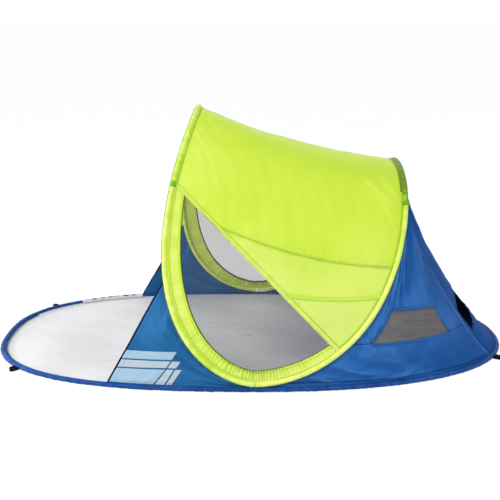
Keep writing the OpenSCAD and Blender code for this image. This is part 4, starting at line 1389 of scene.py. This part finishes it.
def tieBand(node, ctrl, s, far):
    # a turn of tape round a sleeve
    ds = tieSpec["width"] / 2 / hoopReach
    span = np.linspace(s - ds, s + ds, tieSpec["rows"])
    path, way = hoop(ctrl, span), hoopWay(ctrl, span)
    edge = np.abs(np.linspace(-1, 1, tieSpec["rows"])) ** 6
    rows = []
    for angle, out in allRound(across(upWay + 0 * path, way), way, tieSpec["round"]):
        r = tubeR * (tieSpec["over"] - tieSpec["edgeDrop"] * edge + tieSpec["ripple"] * math.sin(5 * angle))
        rows.append(path + out * column(r))
    gridMesh(node + "_tape", np.stack(rows, 1)[:, ::-1], tieTape, [node], tieSpec["thick"],
             None, far, None, True)


def pegLoop(node, q, far):
    # a strap that leaves the rim, turns and comes back, standing on its edge
    way, p = rimWay(np.array(q)), rim(np.array(q))
    out = np.array([way[1], -way[0], 0])
    half, r = loopSpec["width"] / 2 - loopSpec["thick"] / 2, loopSpec["width"] / 2
    straight = np.linspace(tubeR * 0.7, tubeR + loopSpec["reach"] - r, 12)
    arc = np.linspace(-math.pi / 2, math.pi / 2, 17)[1:-1]
    xs = np.concatenate([straight, straight[-1] + half * np.cos(arc), straight[::-1]])
    ys = np.concatenate([0 * straight - half, half * np.sin(arc), 0 * straight + half])
    line = p + column(xs) * out + column(ys) * way
    heights = np.linspace(0.0012, loopSpec["tape"] - 0.001, 9)
    pts = np.stack([line + (z - p[2]) * upWay for z in heights], 1)
    gridMesh(node + "_strap", pts, loopWebbing, [node], loopSpec["thick"], None, far)


def buildTies():
    for side, far in sides.items():
        tieBand(f"hoop_tie_front_{side}", frontCtrl, shape["tieS"], far)
        tieBand(f"hoop_tie_rear_{side}", rearCtrl, shape["ridgeS"], far)


def buildPegLoops():
    front = mix(shape["wingQ"], -360 - shape["wingQ"], loopSpec["frontShare"])
    for side, far in sides.items():
        pegLoop(f"peg_loop_front_{side}", front, far)
        pegLoop(f"peg_loop_rear_{side}", shape["ridgeQ"], far)


buildTies()
buildPegLoops()
print("ties and peg loops sewn")

# Sewing

sewSpec = {                                             # spacing, length, width; coarser than real ones
    "lime": (0.0070, 0.0050, 0.0012, limeThread, "canopy_cloth"),
    "navy": (0.0070, 0.0050, 0.0012, blueThread, "tail_cloth"),
    "black": (0.0060, 0.0040, 0.0012, darkThread, "window_mesh"),
    "pale": (0.0080, 0.0055, 0.0012, paleThread, "floor_sheet"),
    "overlock": (0.0042, 0.0065, 0.0013, limeThread, "gusset_cloth"),
}
for thread, lines in seams.items():
    spacing, length, width, finish, slot = sewSpec[thread]
    sewSeams(f"stitches_{thread}", lines, spacing, length, width, finish)
print("seams stitched")

# Studio

studio = {"world": 0.60, "floorColor": "#f4f4f4", "floorShine": 0.80, "floorGlow": 1.10,
          "half": 90, "drop": -0.0006}
lamps = {                                               # place, target, size in metres and watts
    "key": ((-1.8, -2.2, 3.0), (0, 0, 0.3), (2.4, 2.4), 74),
    "fill": ((2.4, -1.2, 2.2), (0, 0, 0.3), (2.0, 2.0), 18),
    "front": ((-2.6, -0.3, 0.9), (0.3, 0, 0.1), (1.6, 1.2), 30),
    "back": ((0.2, 2.8, 1.6), (0, 0.2, 0.2), (2.4, 1.6), 12),
}


def seenRays(tree):
    # 1 for what the camera sees, straight or by way of gloss or glass
    path = addNode(tree, "ShaderNodeLightPath").outputs
    either = addNode(tree, "ShaderNodeMath", {0: path["Is Camera Ray"], 1: path["Is Glossy Ray"]},
                     operation="MAXIMUM")
    return addNode(tree, "ShaderNodeMath", {0: either.outputs[0], 1: path["Is Transmission Ray"]},
                   operation="MAXIMUM").outputs[0]


def buildStudio():
    mesh = bpy.data.meshes.new("studio_floor")
    half, z = studio["half"], studio["drop"]
    mesh.from_pydata([(-half, -half, z), (half, -half, z), (half, half, z), (-half, half, z)], [],
                     [(0, 1, 2, 3)])
    ground = bpy.data.objects.new("studio_floor", mesh)
    bpy.context.scene.collection.objects.link(ground)
    material, tree = newMaterial("white_studio_floor")
    paper = addNode(tree, "ShaderNodeBsdfDiffuse", {"Color": hexColor(studio["floorColor"])})
    shine = addNode(tree, "ShaderNodeEmission", {"Color": (1, 1, 1, 1), "Strength": studio["floorGlow"]})
    share = addNode(tree, "ShaderNodeMath", {0: seenRays(tree), 1: studio["floorShine"]},
                    operation="MULTIPLY")
    both = addNode(tree, "ShaderNodeMixShader", {0: share.outputs[0], 1: paper.outputs[0],
                                                 2: shine.outputs[0]})
    addNode(tree, "ShaderNodeOutputMaterial", {"Surface": both.outputs[0]})
    mesh.materials.append(material)
    world = bpy.data.worlds.new("studio_air")
    bpy.context.scene.world = world
    world.use_nodes = True
    air = world.node_tree
    air.nodes.clear()
    plain = addNode(air, "ShaderNodeBackground", {"Color": (1, 1, 1, 1), "Strength": studio["world"]})
    white = addNode(air, "ShaderNodeBackground", {"Color": (1, 1, 1, 1), "Strength": 1.0})
    sky = addNode(air, "ShaderNodeMixShader", {0: seenRays(air), 1: plain.outputs[0], 2: white.outputs[0]})
    addNode(air, "ShaderNodeOutputWorld", {"Surface": sky.outputs[0]})


def addLamp(name, place, target, size, watts):
    data = bpy.data.lights.new(name, "AREA")
    data.shape = "RECTANGLE"
    data.size, data.size_y = size
    data.energy = watts
    lamp = bpy.data.objects.new(name, data)
    lamp.location = place
    lamp.rotation_euler = (Vector(target) - Vector(place)).to_track_quat("-Z", "Y").to_euler()
    bpy.context.scene.collection.objects.link(lamp)


cameraSpec = {"lens": 64.83, "place": (0.032, -3.388, 1.265), "aim": (0, 0, 0.3), "shift": (-0.0016, 0.0292)}


def addCamera():
    data = bpy.data.cameras.new("camera")
    data.lens = cameraSpec["lens"]
    data.sensor_width = 36
    data.shift_x, data.shift_y = cameraSpec["shift"]
    camera = bpy.data.objects.new("camera", data)
    camera.location = cameraSpec["place"]
    look = Vector(cameraSpec["aim"]) - Vector(cameraSpec["place"])
    camera.rotation_euler = look.to_track_quat("-Z", "Y").to_euler()
    bpy.context.scene.collection.objects.link(camera)
    bpy.context.scene.camera = camera


buildStudio()
for name, (place, target, size, watts) in lamps.items():
    addLamp(name, place, target, size, watts)
addCamera()
bpy.context.scene.view_settings.view_transform = "Standard"
print("studio set")
